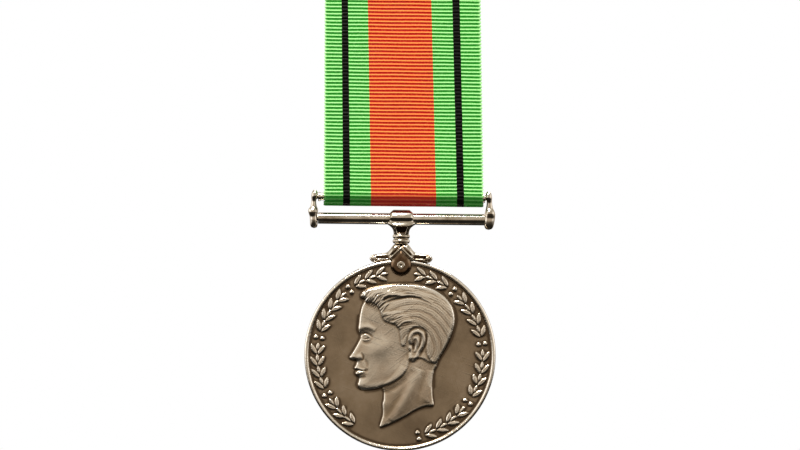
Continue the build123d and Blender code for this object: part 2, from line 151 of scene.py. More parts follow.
pin_steel, tree, shader, place = new_material("spring steel wire, drawn and polished")
shader.inputs["Metallic"].default_value = 1.0
along_wire = add(tree, "ShaderNodeMapping", {"Scale": (1 / (6 * MM), 1 / (0.14 * MM), 1 / (0.14 * MM))},
                 {"Vector": place})
drawing = add(tree, "ShaderNodeTexNoise", {"Scale": 1.0, "Detail": 2.0}, {"Vector": along_wire.outputs[0]})
tinted = add(tree, "ShaderNodeValToRGB", links={"Fac": drawing.outputs[0]},
             stops=[(0.3, "#97958f"), (0.5, "#bdbbb6"), (0.7, "#d4d3cf")])
tree.links.new(tinted.outputs["Color"], shader.inputs["Base Color"])
wire_rough = add(tree, "ShaderNodeMapRange",
                 {"From Min": 0.3, "From Max": 0.7, "To Min": 0.28, "To Max": 0.15},
                 {"Value": drawing.outputs[0]})
tree.links.new(wire_rough.outputs[0], shader.inputs["Roughness"])
wire_bump = add(tree, "ShaderNodeBump", {"Strength": 1.0, "Distance": 0.006 * MM},
                {"Height": drawing.outputs[0]})
tree.links.new(wire_bump.outputs[0], shader.inputs["Normal"])
finish_nodes(pin_steel, "brooch_pin")

# ------------------------------------------------------------------------------------------------------------
# RIBBON: one length of corded silk ribbon, woven with its ribs from edge to edge. It runs from its inner end
# behind the brooch, down, round the suspender's rod, up the front, over the brooch and down to its sewn hem.
# ------------------------------------------------------------------------------------------------------------

ribbon_half_width = 15.0 * MM
ribbon_half_thickness = 0.25 * MM
rib_pitch = 0.67 * MM
rib_steps = 8  # rows of the mesh to a rib
face_columns, loop_columns = 25, 3  # points across one face, and round one selvedge
loop_out = 0.38 * MM  # a rib stands out this far past the cloth between ribs
drawn_aside = 0.62 * MM  # how far the cloth's middle is pulled over at the brooch
fold_shade_reach, fold_shade_fade = 2.75 * MM, 0.9 * MM  # the cloth painted darker round the rod, as shade and soil, and where it fades
layer_out = 0.7 * MM  # the cloth's middle, from the medal's middle plane, beside the brooch
rod_out = 1.15 * MM  # and beside the rod
fold_drop = 1.5 * MM  # the fold hangs a little slack under the rod
plane_y = (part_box("medal_disc")[0].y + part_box("medal_disc")[1].y) / 2
rod_low, rod_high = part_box("top_rod")
rod_z = (rod_low.z + rod_high.z) / 2
plate_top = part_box("brooch_plate")[1].z
fall_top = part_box("ribbon_front_fall")[1].z
turn_radius = 0.975 * MM
turn_y = plane_y + 0.275 * MM
hem_end = -7.2 * MM
tail_end = 2.4 * MM
lean_top, lean_low = -0.2 * MM, 0.36 * MM  # how far the cloth is to one side at the brooch, and at the rod


def ribbon_line(spacing):
    """The ribbon's middle line in the YZ plane, as points evenly spaced along it.
    Straight runs joined by half an ellipse under the rod and half a circle over the brooch's top edge."""
    half_turn = np.linspace(0, np.pi, 60)
    runs = [
        np.array([[plane_y + layer_out, tail_end], [plane_y + layer_out, fall_top]]),
        np.stack([plane_y + rod_out * np.cos(half_turn), rod_z - fold_drop * np.sin(half_turn)], 1),
        np.array([[plane_y - layer_out, fall_top]]),
        np.stack([turn_y - turn_radius * np.cos(half_turn), plate_top + turn_radius * np.sin(half_turn)], 1),
        np.array([[turn_y + turn_radius, hem_end]]),
    ]
    corners = np.concatenate(runs)
    along = np.concatenate([[0], np.cumsum(np.hypot(*np.diff(corners, axis=0).T))])
    count = int(round(along[-1] / spacing))
    at = np.linspace(0, along[-1], count + 1)
    return at, np.stack([np.interp(at, along, corners[:, 0]), np.interp(at, along, corners[:, 1])], 1)


def ring_quads(rows, around):
    """The quads between neighbouring rings of points, where each ring closes on itself."""
    index = np.arange(rows * around).reshape(rows, around)
    index = np.concatenate([index, index[:, :1]], 1)
    return np.stack([index[:-1, :-1], index[1:, :-1], index[1:, 1:], index[:-1, 1:]], -1).reshape(-1, 4)


def mesh_object(name, points, faces):
    """A smooth-shaded mesh object at the origin from its points and faces."""
    mesh = bpy.data.meshes.new(name)
    mesh.from_pydata(points.tolist(), [], [list(f) for f in faces])
    mesh.polygons.foreach_set("use_smooth", [True] * len(mesh.polygons))
    mesh.update()
    piece = bpy.data.objects.new(name, mesh)
    bpy.context.scene.collection.objects.link(piece)
    return piece


def ribbon_mesh():
    """The corded ribbon as one closed sheet.
    A row is one ring round the ribbon's section: across one face, round the selvedge, back across the other.
    The half thickness is a row of round cords, 0.4 of ribbon_half_thickness plus 0.6 times the square root
    of the cosine's size along the line, and each cord ends in a small loop that stands out at the edge."""
    at, line = ribbon_line(rib_pitch / rib_steps)
    tangent = np.gradient(line, axis=0)
    tangent /= np.linalg.norm(tangent, axis=1, keepdims=True)
    normal = np.stack([tangent[:, 1], -tangent[:, 0]], 1)
    rng = np.random.default_rng(7)
    length = at[-1]
    # across: the columns of one face, closer together towards the selvedges
    side = np.sin(np.linspace(-1, 1, face_columns) * np.pi / 2 * 0.93) / np.sin(np.pi / 2 * 0.93)
    edge_angle = np.linspace(0, np.pi, loop_columns + 2)[1:-1]
    across = np.concatenate([side * 0.994, np.full(loop_columns, 1.0), side[::-1] * 0.994,
                             np.full(loop_columns, -1.0)])
    reach = np.concatenate([np.zeros(face_columns), np.sin(edge_angle), np.zeros(face_columns),
                            -np.sin(edge_angle)])
    lift = np.concatenate([np.ones(face_columns), np.cos(edge_angle), -np.ones(face_columns),
                           -np.cos(edge_angle)])
    # the ribs lean a little, more near the top of the fall than at the fold
    lean_at = np.interp(at / MM, [0, 10.5, 50, 56, 60, 101, 114], [0.0, 0.012, 0.004, 0.0, 0.004, 0.026, 0.0])
    shift = lean_at[:, None] * across[None] * ribbon_half_width
    s = at[:, None] + shift * np.sin(np.pi * np.clip(at / length, 0, 1))[:, None] ** 0.2
    s = np.clip(s, 0, length)
    # uneven beat of the weft, a few hundredths of a millimetre
    ripple = np.interp(s / rib_pitch, np.arange(400), rng.normal(0, 0.055, 400))
    phase = s / rib_pitch + 0.06 * np.sin(across[None] * 9 + at[:, None] / (3.1 * MM)) * 0.5
    cord = np.sqrt(np.abs(np.cos(np.pi * phase)) + 1e-6)
    strength = 1 + ripple
    half = ribbon_half_thickness * (0.4 + 0.6 * cord * np.clip(strength, 0.8, 1.0))
    ends = np.clip(np.minimum(at, length - at) / (0.25 * MM), 0.12, 1)[:, None]
    half = half * ends
    base_y = np.interp(s, at, line[:, 0])
    base_z = np.interp(s, at, line[:, 1])
    normal_y = np.interp(s, at, normal[:, 0])
    normal_z = np.interp(s, at, normal[:, 1])
    # the hanging falls aren't dead flat: they cup by a tenth of a millimetre or so
    hanging = np.clip((fall_top - base_z) / (8 * MM), 0, 1) * np.clip((base_z - rod_z) / (8 * MM), 0, 1)
    cup = hanging * 0.09 * MM * (np.sin(across[None] * 2.2 + base_z / (9 * MM))
                                 + 0.5 * np.sin(across[None] * 5 - base_z / (5 * MM)))
    cup = cup * np.sign(normal_y)
    edge_x = ribbon_half_width - loop_out + loop_out * cord
    flat_x = across[None] * edge_x * 0.994 + reach[None] * (0.09 * MM + 0.1 * MM * cord) * 0.9
    down = np.clip((base_z - fall_top) / (rod_z - fall_top), 0, 1)
    # the middle is drawn to one side, and the selvedges stay where they are
    pulled = -drawn_aside * (1 - down) * (1 - np.clip(flat_x / ribbon_half_width, -1, 1) ** 4)
    x = flat_x * (0.975 + 0.025 * down) + (lean_low * down + lean_top * (1 - down)) + pulled
    y = base_y + normal_y * (half * lift[None]) + cup
    z = base_z + normal_z * (half * lift[None])
    points = np.stack([x, y, z], -1)
    rows, columns = points.shape[:2]
    index = np.arange(rows * columns).reshape(rows, columns)
    # the cut ends: each is closed by quads between the two faces, and a fan in each selvedge's loop
    face = np.arange(face_columns - 1)
    far = columns - loop_columns - 1 - np.arange(face_columns)
    near_end, far_end = face_columns - 1, 2 * face_columns + loop_columns - 1
    caps = []
    for row, flip in ((0, False), (rows - 1, True)):
        ring = index[row]
        strip = np.stack([ring[face], ring[face + 1], ring[far[face + 1]], ring[far[face]]], -1)
        caps.append(strip[:, ::-1] if flip else strip)
        loops = [
            [ring[end], ring[end + k], ring[(end + k + 1) % columns]]
            for end in (near_end, far_end) for k in range(1, loop_columns + 1)
        ]
        caps.append([f[::-1] if flip else f for f in loops])
    faces = ring_quads(rows, columns).tolist() + [list(f) for group in caps for f in group]
    ribbon = mesh_object("ribbon", points.reshape(-1, 3), faces)
    # the weave's own map: across the cloth in u and along it in v, both in millimetres over 100
    uv = np.stack([flat_x / (100 * MM), s / (100 * MM)], -1).reshape(-1, 2)
    layer = ribbon.data.uv_layers.new(name="weave")
    corner = np.zeros(len(ribbon.data.loops), np.int32)
    ribbon.data.loops.foreach_get("vertex_index", corner)
    layer.data.foreach_set("uv", uv[corner].astype(np.float32).ravel())
    valley = ribbon.data.attributes.new("rib", "FLOAT", "POINT")
    valley.data.foreach_set("value", cord.astype(np.float32).ravel())
    # where the cloth turns round the rod it is painted darker, as shade and soil: 1 there, and 0 two ribs above it
    fold_at = at[np.argmin(line[:, 1])]
    fold_shade_and_soil_mask = np.clip((fold_shade_reach - np.abs(s - fold_at)) / fold_shade_fade, 0, 1)
    fold_shade_and_soil = ribbon.data.attributes.new("fold_shade_and_soil", "FLOAT", "POINT")
    fold_shade_and_soil.data.foreach_set("value", fold_shade_and_soil_mask.astype(np.float32).ravel())
    return ribbon


ribbon = ribbon_mesh()

# Corded silk, piece dyed in stripes, its colour painted lighter along the tops of the ribs as a highlight and darker
# between them as shade.
silk, tree, shader, place = new_material("corded silk ribbon, woven in stripes")
shader.inputs["Sheen Weight"].default_value = 0.02
shader.inputs["Sheen Roughness"].default_value = 0.35
shader.inputs["Specular IOR Level"].default_value = 0.12
weave_place = add(tree, "ShaderNodeUVMap", uv_map="weave").outputs[0]
in_metres = add(tree, "ShaderNodeVectorMath", {1: (100 * MM, 100 * MM, 0)}, {0: weave_place},
                operation="MULTIPLY").outputs[0]
across_x = add(tree, "ShaderNodeSeparateXYZ", links={0: in_metres}).outputs[0]
rib_at = add(tree, "ShaderNodeAttribute", attribute_name="rib").outputs["Fac"]
# the stripe's edges wander by a warp thread from rib to rib
wander = add(tree, "ShaderNodeTexNoise", {"Scale": 1 / (0.5 * MM), "Detail": 1.0}, {"Vector": place})
wandered = add(tree, "ShaderNodeMath", {1: 0.12 * MM, 2: -0.06 * MM}, {0: wander.outputs[0]},
               operation="MULTIPLY_ADD")
off_centre = add(tree, "ShaderNodeMath",
                 links={0: add(tree, "ShaderNodeMath", links={0: across_x}, operation="ABSOLUTE").outputs[0],
                        1: wandered.outputs[0]}, operation="ADD")
stripe_reach = 15.5  # millimetres out from the middle, where the share is 1
share = add(tree, "ShaderNodeMath", {1: stripe_reach * MM}, {0: off_centre.outputs[0]}, operation="DIVIDE")
stripe_edges = [6.1, 10.0, 11.35]  # millimetres out from the middle: flame, green, black, green
# painted highlight and shade: each stripe's colour is light on the ribs' tops, as a highlight, and dark in the valleys
# between them, as shade
rib_top_highlight_colours = ("#ff9a50", "#b4ffa8", "#0d100b", "#b4ffa8")
rib_valley_shade_colours = ("#980500", "#087410", "#020302", "#087410")


def stripes(colours):
    """The stripe colour at a share of the half width, in hard steps."""
    stops = [(0.0, colours[0])] + [(edge / stripe_reach, c) for edge, c in zip(stripe_edges, colours[1:])]
    bands = add(tree, "ShaderNodeValToRGB", links={"Fac": share.outputs[0]}, stops=stops)
    bands.color_ramp.interpolation = "CONSTANT"
    return bands.outputs["Color"]


# the rib's height picks between the painted highlight colour on its top and the painted shade colour in its valley
rib_highlight_share = add(tree, "ShaderNodeMapRange", {"From Min": 0.86, "From Max": 1.02}, {"Value": rib_at})
warp_place = add(tree, "ShaderNodeMapping", {"Scale": (1 / (0.16 * MM), 1 / (0.67 * MM), 1.0)},
                 {"Vector": in_metres})
warp = add(tree, "ShaderNodeTexNoise", {"Scale": 1.0, "Detail": 3.0, "Roughness": 0.7},
           {"Vector": warp_place.outputs[0]})
threads = add(tree, "ShaderNodeMapRange", {"From Min": 0.3, "From Max": 0.7, "To Min": -0.22, "To Max": 0.16},
              {"Value": warp.outputs[0]})
depth = add(tree, "ShaderNodeMath", links={0: rib_highlight_share.outputs[0], 1: threads.outputs[0]}, operation="ADD",
            use_clamp=True)
# painted shade and soil round the fold under the rod: the ribs' painted highlights are cut back there and the whole
# colour is darkened
fold_shade_and_soil_mask = add(tree, "ShaderNodeAttribute", attribute_name="fold_shade_and_soil").outputs["Fac"]
fold_shade_on_rib_tops = add(tree, "ShaderNodeMapRange", {"To Min": 1.0, "To Max": 0.22}, {"Value": fold_shade_and_soil_mask})
# painted highlight: over the last third of a millimetre by each selvedge the colour is pushed towards the light rib-top
# colour, where the rib loops turn
selvedge = add(tree, "ShaderNodeMapRange",
               {"From Min": 14.55 * MM, "From Max": 14.85 * MM, "To Min": 0.0, "To Max": 0.35},
               {"Value": off_centre.outputs[0]})
outlined = add(tree, "ShaderNodeMath", links={0: depth.outputs[0], 1: selvedge.outputs[0]}, operation="ADD",
               use_clamp=True)
shown = add(tree, "ShaderNodeMath", links={0: outlined.outputs[0], 1: fold_shade_on_rib_tops.outputs[0]},
            operation="MULTIPLY")
# the stripes' dye, with the ribs' painted highlights and painted shade mixed in
dyed_with_painted_rib_light = add(tree, "ShaderNodeMix", links={0: shown.outputs[0], 6: stripes(rib_valley_shade_colours), 7: stripes(rib_top_highlight_colours)},
           data_type="RGBA")
# painted shade with soil: the colour is darkened to 0.4 round the fold
fold_shade_and_soil_dimming = add(tree, "ShaderNodeMapRange", {"To Min": 1.0, "To Max": 0.4}, {"Value": fold_shade_and_soil_mask})
shaded = add(tree, "ShaderNodeVectorMath", links={0: dyed_with_painted_rib_light.outputs[2], 1: fold_shade_and_soil_dimming.outputs[0]},
             operation="MULTIPLY")
tree.links.new(shaded.outputs[0], shader.inputs["Base Color"])
silk_rough = add(tree, "ShaderNodeMapRange",
                 {"From Min": 0.3, "From Max": 0.7, "To Min": 0.5, "To Max": 0.34},
                 {"Value": warp.outputs[0]})
tree.links.new(silk_rough.outputs[0], shader.inputs["Roughness"])
silk_bump = add(tree, "ShaderNodeBump", {"Strength": 1.0, "Distance": 0.03 * MM}, {"Height": warp.outputs[0]})
tree.links.new(silk_bump.outputs[0], shader.inputs["Normal"])
ribbon.data.materials.append(silk)

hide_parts("ribbon_head", "ribbon_tail", "ribbon_front_fall", "ribbon_back_fall", "ribbon_fold")
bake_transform(ribbon)

# ------------------------------------------------------------------------------------------------------------
# HEM STITCHES: fourteen stitches of green two-ply cotton thread in a row across the hem. They are sewn through
# the layers and hold the ribbon closed round the brooch's plate.
# ------------------------------------------------------------------------------------------------------------

stitch_low, stitch_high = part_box("hem_stitches")
stitch_count = 14
stitch_length = 1.3 * MM
thread_radius = 0.16 * MM
stitch_rings, stitch_around = 19, 12


def stitch_mesh():
    """Each stitch is a two-ply thread along an arc that dips into the cloth at both ends.
    The section's radius is the thread's, times 1 plus a fifth of the cosine of twice the angle less the twist."""
    along, around = np.meshgrid(
        np.linspace(0, 1, stitch_rings), np.arange(stitch_around) * 2 * np.pi / stitch_around, indexing="ij"
    )
    ply = 1 + 0.2 * np.cos(2 * around - along * 2 * np.pi * 2.2)
    taper = np.sin(np.pi * along) ** 0.35
    radius = 0.8 * thread_radius * ply * np.clip(taper, 0.02, 1)
    x = (along - 0.5) * stitch_length
    rise = thread_radius * (1.1 * np.sin(np.pi * along) ** 0.5 - 0.45)
    first = stitch_low.x + stitch_length / 2
    last = stitch_high.x - stitch_length / 2
    middle_y = (stitch_low.y + stitch_high.y) / 2
    middle_z = (stitch_low.z + stitch_high.z) / 2
    centres = np.linspace(first, last, stitch_count)
    rng = np.random.default_rng(3)
    tilt = rng.normal(0, 0.035, stitch_count)
    px = centres[:, None, None] + x[None]
    py = middle_y + rise[None] + radius[None] * np.cos(around)[None] + 0 * px
    pz = middle_z + radius[None] * np.sin(around)[None] + tilt[:, None, None] * x[None]
    points = np.stack([px, py, pz], -1)
    index = np.arange(stitch_rings * stitch_around).reshape(stitch_rings, stitch_around)
    offset = (np.arange(stitch_count) * index.size)[:, None, None]
    sides = (ring_quads(stitch_rings, stitch_around)[None] + offset).reshape(-1, 4)
    caps = (np.stack([index[0], index[-1][::-1]])[None] + offset).reshape(-1, stitch_around)
    faces = sides.tolist() + caps.tolist()
    return mesh_object("stitches", points.reshape(-1, 3), faces)


stitches = stitch_mesh()
# Mercerised cotton, twisted two-ply: a little shine, darker in the twist's grooves.
thread, tree, shader, place = new_material("mercerised cotton thread, two-ply")
shader.inputs["Sheen Weight"].default_value = 0.3
fibres_place = add(tree, "ShaderNodeMapping", {"Scale": (1 / (0.5 * MM), 1 / (0.06 * MM), 1 / (0.06 * MM))},
                   {"Vector": place})
fibres = add(tree, "ShaderNodeTexNoise", {"Scale": 1.0, "Detail": 3.0}, {"Vector": fibres_place.outputs[0]})
tinted = add(tree, "ShaderNodeValToRGB", links={"Fac": fibres.outputs[0]},
             stops=[(0.3, "#1f6a24"), (0.5, "#3f9a3f"), (0.7, "#6cc566")])
tree.links.new(tinted.outputs["Color"], shader.inputs["Base Color"])
fibre_rough = add(tree, "ShaderNodeMapRange",
                  {"From Min": 0.3, "From Max": 0.7, "To Min": 0.7, "To Max": 0.5},
                  {"Value": fibres.outputs[0]})
tree.links.new(fibre_rough.outputs[0], shader.inputs["Roughness"])
fibre_bump = add(tree, "ShaderNodeBump", {"Strength": 1.0, "Distance": 0.02 * MM},
                 {"Height": fibres.outputs[0]})
tree.links.new(fibre_bump.outputs[0], shader.inputs["Normal"])
stitches.data.materials.append(thread)
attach(stitches, "brooch")
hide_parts("hem_stitches")

# ------------------------------------------------------------------------------------------------------------
# SUSPENDER: drawn cupro-nickel rod and bar, riveted and soldered into cast end lugs, with a cast boss and stem
# on the bar's middle. Polished all over before it is fixed, so it is the brightest metal on the medal.
# ------------------------------------------------------------------------------------------------------------


def step(value):
    """A smooth rise from 0 to 1 as value goes from 0 to 1."""
    t = np.clip(value, 0, 1)
    return t * t * (3 - 2 * t)


def through(points, closed=False, steps=8):
    """A smooth line through the points: a Catmull-Rom curve, steps pieces to a span."""
    p = np.array(points, float)
    if closed:
        p = np.concatenate([p[-1:], p, p[:2]])
    else:
        p = np.concatenate([2 * p[:1] - p[1:2], p, 2 * p[-1:] - p[-2:-1]])
    a, b, c, d = p[:-3, None], p[1:-2, None], p[2:-1, None], p[3:, None]
    t = (np.arange(steps) / steps)[None, :, None]
    line = 0.5 * (2 * b + (c - a) * t + (2 * a - 5 * b + 4 * c - d) * t**2 + (3 * b - a - 3 * c + d) * t**3)
    line = line.reshape(-1, 2)
    return np.concatenate([line, line[:1] if closed else p[-2:-1]])


def closed_rings(points, rising):
    """The placed points and the faces of a closed piece, from rings of points in millimetres about the disc's
    centre. Quads join neighbouring rings, and a fan joins each end ring to its own mean point. rising is true
    where the rings are stacked upwards and each runs anticlockwise seen from above."""
    rows, around = points.shape[:2]
    index = np.arange(rows * around).reshape(rows, around)
    index = np.concatenate([index, index[:, :1]], 1)
    quads = ring_quads(rows, around)[:, [0, 3, 2, 1] if rising else [0, 1, 2, 3]]
    near, far = (index[:, 1:], index[:, :-1]) if rising else (index[:, :-1], index[:, 1:])
    first, last = np.full(around, rows * around), np.full(around, rows * around + 1)
    fans = np.concatenate([np.stack([first, near[0], far[0]], 1), np.stack([last, far[-1], near[-1]], 1)])
    poles = np.stack([points[0].mean(0), points[-1].mean(0)])
    placed = np.concatenate([points.reshape(-1, 3), poles]) * MM + np.array([0, plane_y, disc_z])
    return placed, quads.tolist() + fans.tolist()


def metal_loft(name, z, middle, half_width, half_depth, square, shape=None, around=72):
    """A cast piece as a stack of level sections, from its lowest z to its highest, closed at both ends.
    A section is a superellipse: x is half_width times the cosine's size to the power 2 over square, with its
    sign, and y likewise with half_depth and the sine. shape moves the points that it is given, if there is one."""
    turn = np.arange(around) * 2 * np.pi / around
    c, s = np.cos(turn)[None], np.sin(turn)[None]
    power = 2 / square[:, None]
    x = middle[:, None] + half_width[:, None] * np.sign(c) * np.abs(c) ** power
    y = half_depth[:, None] * np.sign(s) * np.abs(s) ** power
    points = np.stack([x, y, np.broadcast_to(z[:, None], x.shape)], -1)
    if shape is not None:
        points = shape(points)
    return mesh_object(name, *closed_rings(points, rising=True))


def levels(heights, *columns):
    """Smooth columns of numbers against height: each passes through its values at the given heights.
    The rows crowd towards the two ends, where a casting rounds over."""
    rows = 120
    heights = np.array(heights, float)
    share = (1 - np.cos(np.linspace(0, np.pi, rows))) / 2
    z = heights[0] + (heights[-1] - heights[0]) * share
    at = np.interp(z, heights, np.arange(len(heights)))
    result = [z]
    for column in columns:
        line = through(np.stack([np.arange(len(heights), dtype=float), np.array(column, float)], 1), steps=16)
        result.append(np.interp(at, line[:, 0], line[:, 1]))
    return result


disc_low, disc_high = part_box("medal_disc")
disc_z = (disc_low.z + disc_high.z) / 2
disc_radius = (disc_high.x - disc_low.x) / 2
bar_low, bar_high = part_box("suspension_bar")
bar_up = ((bar_low.z + bar_high.z) / 2 - disc_z) / MM  # heights here are millimetres above the disc's centre
rod_up = (rod_z - disc_z) / MM
lug_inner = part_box("right_end_lug")[0].x / MM

polished_bar = metal("cupro-nickel, drawn and polished", ("#a59b8a", "#d6cfc2", "#efebe2"), (0.07, 0.16),
                     0.55, 0.02, 0.3)
finish_nodes(polished_bar, "top_rod", "suspension_bar")
polished_casting = metal("cupro-nickel, cast and polished", ("#a29785", "#d6cfc2", "#f1ede4"), (0.06, 0.16),
                         0.7, 0.012, 0.2)
finish_nodes(polished_casting, "stem_collar")

toned_claw = metal("cupro-nickel, struck, toned in the flats", ("#54402f", "#78634e", "#a39481"), (0.1, 0.2),
                   0.4, 0.012, 0.15)


def tone_hollows(piece, depth):
    """Gives the toned metal to the faces whose points lie deeper than half of a hollow, from 0 to 1."""
    piece.data.materials.append(polished_casting)
    piece.data.materials.append(toned_claw)
    corners = np.zeros(len(piece.data.loops), np.int32)
    piece.data.loops.foreach_get("vertex_index", corners)
    starts = np.zeros(len(piece.data.polygons), np.int32)
    piece.data.polygons.foreach_get("loop_start", starts)
    deep = np.minimum.reduceat(np.append(depth.ravel(), [0, 0])[corners], starts) > 0.5
    piece.data.polygons.foreach_set("material_index", deep.astype(np.int32))


# the two castings are dressed by hand: the left one keeps a collar over its barrel, the right one is an egg
lug_widths = {-1: [0.02, 0.5, 0.7, 0.74, 0.74, 0.84, 0.92, 0.86, 0.6, 0.45, 0.5, 0.64, 0.54, 0.3, 0.02],
              1: [0.02, 0.55, 0.84, 1.02, 1.06, 1.03, 0.95, 0.82, 0.66, 0.52, 0.52, 0.64, 0.54, 0.3, 0.02]}
for side, node in ((-1, "left_end_lug"), (1, "right_end_lug")):
    # from the round foot up: the barrel on the bar's end, its collar, the web, and the eye on the rod's end
    z, out, half_width, half_depth = levels(
        [bar_up - 1.9, bar_up - 1.75, bar_up - 1.3, bar_up - 0.4, bar_up + 0.3, bar_up + 0.85, bar_up + 1.3,
         bar_up + 1.75, bar_up + 2.15, rod_up - 1.0, rod_up - 0.45, rod_up + 0.15, rod_up + 0.8, rod_up + 1.2,
         rod_up + 1.35],
        [0.75, 0.75, 0.78, 0.8, 0.85, 0.93, 0.95, 0.92, 0.85, 0.84, 0.8, 0.68, 0.66, 0.66, 0.66],
        lug_widths[side],
        [0.02, 0.85, 1.2, 1.35, 1.35, 1.45, 1.5, 1.3, 1.0, 0.85, 0.95, 1.15, 0.95, 0.5, 0.02],
    )
    lug = metal_loft("end_lug_" + ("left" if side < 0 else "right"), z, side * (lug_inner + out), half_width,
                     half_depth, np.full_like(z, 2.5))
    lug.data.materials.append(polished_casting)
    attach(lug, "medal")
    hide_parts(node)


def panel_depth(x, up):
    """The shield-shaped panel on the stem's front and back, from 0 outside it to 1 on its floor."""
    half = 0.8 + 0.4 * np.clip((up + 2.6) / 1.2, 0, 1)
    return step((half - np.abs(x)) / 0.18 + 0.5) * step((up + 2.75) / 0.2) * step((-1.25 - up) / 0.3)


def boss_shape(points):
    """Sinks a shield-shaped panel into the stem's front and back, by a quarter of a millimetre."""
    x, y, z = points[..., 0], points[..., 1], points[..., 2]
    panel = panel_depth(x, z - bar_up)
    return np.stack([x, y - np.sign(y) * 0.27 * panel * np.clip(np.abs(y) - 0.6, 0, 0.4) / 0.4, z], -1)


z, half_width, half_depth, square = levels(
    [bar_up - 2.85, bar_up - 2.7, bar_up - 2.3, bar_up - 1.95, bar_up - 1.65, bar_up - 1.35, bar_up - 1.05,
     bar_up - 0.75, bar_up - 0.45, bar_up - 0.15, bar_up + 0.2, bar_up + 0.6, bar_up + 1.07, bar_up + 1.4,
     bar_up + 1.62, bar_up + 1.72],
    [1.4, 1.46, 1.52, 1.64, 1.85, 2.2, 2.62, 2.8, 2.42, 2.28, 2.26, 2.26, 2.2, 1.9, 1.66, 1.5],
    [1.34, 1.38, 1.5, 1.68, 1.84, 1.88, 1.74, 1.56, 1.52, 1.64, 1.78, 1.7, 1.4, 1.02, 0.6, 0.04],
    [3.0, 3.0, 3.0, 3.0, 3.0, 3.0, 3.2, 3.4, 3.6, 4.0, 4.4, 4.6, 4.8, 4.6, 4.0, 3.0],
)
boss = metal_loft("boss_and_stem", z, np.zeros_like(z), half_width, half_depth, square, boss_shape,
                  around=120)
spots = np.zeros(len(boss.data.vertices) * 3, np.float32)
boss.data.vertices.foreach_get("co", spots)
spots = spots.reshape(-1, 3)[:-2] / MM
front_or_back = np.abs(spots[:, 1] - plane_y / MM) > 0.9
tone_hollows(boss, panel_depth(spots[:, 0], spots[:, 2] - disc_z / MM - bar_up) * front_or_back)
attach(boss, "medal")
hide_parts("bar_boss")

# ------------------------------------------------------------------------------------------------------------
# CLAW: a cast saddle with two scroll feet on the disc's rim, and a struck toe on each face of the disc, held
# by a cold-headed rivet through the disc.
# ------------------------------------------------------------------------------------------------------------

saddle_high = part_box("claw_saddle")[1]
saddle_top = (saddle_high.z - disc_z) / MM
foot_end = saddle_high.x / MM
toe_low, toe_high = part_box("claw_front_toe")
toe_radius = toe_high.x / MM
rivet_up = (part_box("claw_rivet")[0].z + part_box("claw_rivet")[1].z) / 2 / MM - disc_z / MM
foot_top = 19.22


def saddle_mesh():
    """The saddle as upright sections from one scroll foot to the other, each a superellipse in the YZ plane.
    A section reaches from the disc's rim up to the saddle's outline: a neck that flares into level arms, whose
    ends round over. Round the arms' ends there is a scroll groove, along them a hollow, and over each toe's
    peak a raised edge."""
    around, stations = 192, 241
    share = np.linspace(-1, 1, stations)
    x = foot_end * np.sin(share * np.pi / 2)
    reach_x = np.abs(x)
    neck = foot_top + (saddle_top - foot_top) * (1 - step((reach_x - 1.0) / 2.3)) ** 1.6
    end = np.sqrt(np.clip(1 - (np.clip(reach_x - (foot_end - 0.95), 0, None) / 0.95) ** 2, 0, 1))
    rim = np.sqrt((disc_radius / MM) ** 2 - reach_x**2)
    end_middle = foot_top - 0.95
    droop = 0.3 * step((reach_x - 2.4) / 3.0)  # the arms fall a little towards their ends
    top = np.where(reach_x > foot_end - 0.95, end_middle + 0.95 * end, neck) - droop
    bottom = np.where(reach_x > foot_end - 0.95, end_middle - 0.95 * end + 0.1, rim - 0.04)
    bottom = np.where(reach_x < 1.9, rim - 0.05 - 0.4 * step((1.9 - reach_x) / 0.5), bottom)
    depth = 1.28 + 0.62 * (1 - step((reach_x - 1.5) / 1.3))
    depth = depth * (0.5 + 0.5 * end)
    # the section is where the cubes of the two shares add up to 1, and its points are even along each side
    near = np.linspace(0, 0.5 ** (1 / 3), around // 8 + 1)
    far = (1 - near**3) ** (1 / 3)
    one, other = np.concatenate([far[:-1], near[:0:-1]]), np.concatenate([near[:-1], far[:0:-1]])
    y = depth[:, None] * np.concatenate([one, -other, -one, other])[None]
    z = ((top + bottom) / 2)[:, None] + ((top - bottom) / 2)[:,
                                                             None] * np.concatenate([other, one, -other,
                                                                     -one])[None]
    px = np.broadcast_to(x[:, None], y.shape)
    ax = np.abs(px)
    outward = np.clip(np.abs(y) / depth.max(), 0, 1)
    hollow = np.exp(-(((z - (foot_top - 0.8)) / 0.26) ** 2)) * step((ax - 2.2) / 0.35) * step((4.75
            - ax) / 0.35)
    eye_gap = np.hypot(ax - (foot_end - 0.95), z - end_middle)
    groove = np.exp(-(((eye_gap - 0.5) / 0.13) ** 2)) * (ax > 3.9)
    peak = rivet_up + (toe_radius + 0.3) * math.sqrt(2)
    beyond = (z - (peak - ax)) / math.sqrt(2)
    hood = np.exp(-((beyond / 0.2) ** 4)) * (ax < 2.4)
    valley = np.exp(-(((beyond - 0.42) / 0.13) ** 2)) * step((2.2 - ax) / 0.4)
    push = -0.45 * hollow - 0.25 * groove + 0.22 * hood - 0.3 * valley
    y = y + np.sign(y) * push * step((np.abs(y) - 0.55) / 0.4)
    points = np.stack([px, y, z], -1)
    saddle = mesh_object("saddle_and_feet", *closed_rings(points, rising=False))
    tone_hollows(saddle, np.maximum(np.maximum(hollow * 1.1, groove), valley) * (outward > 0.3))
    return saddle


saddle = saddle_mesh()
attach(saddle, "medal")
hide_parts("claw_saddle")


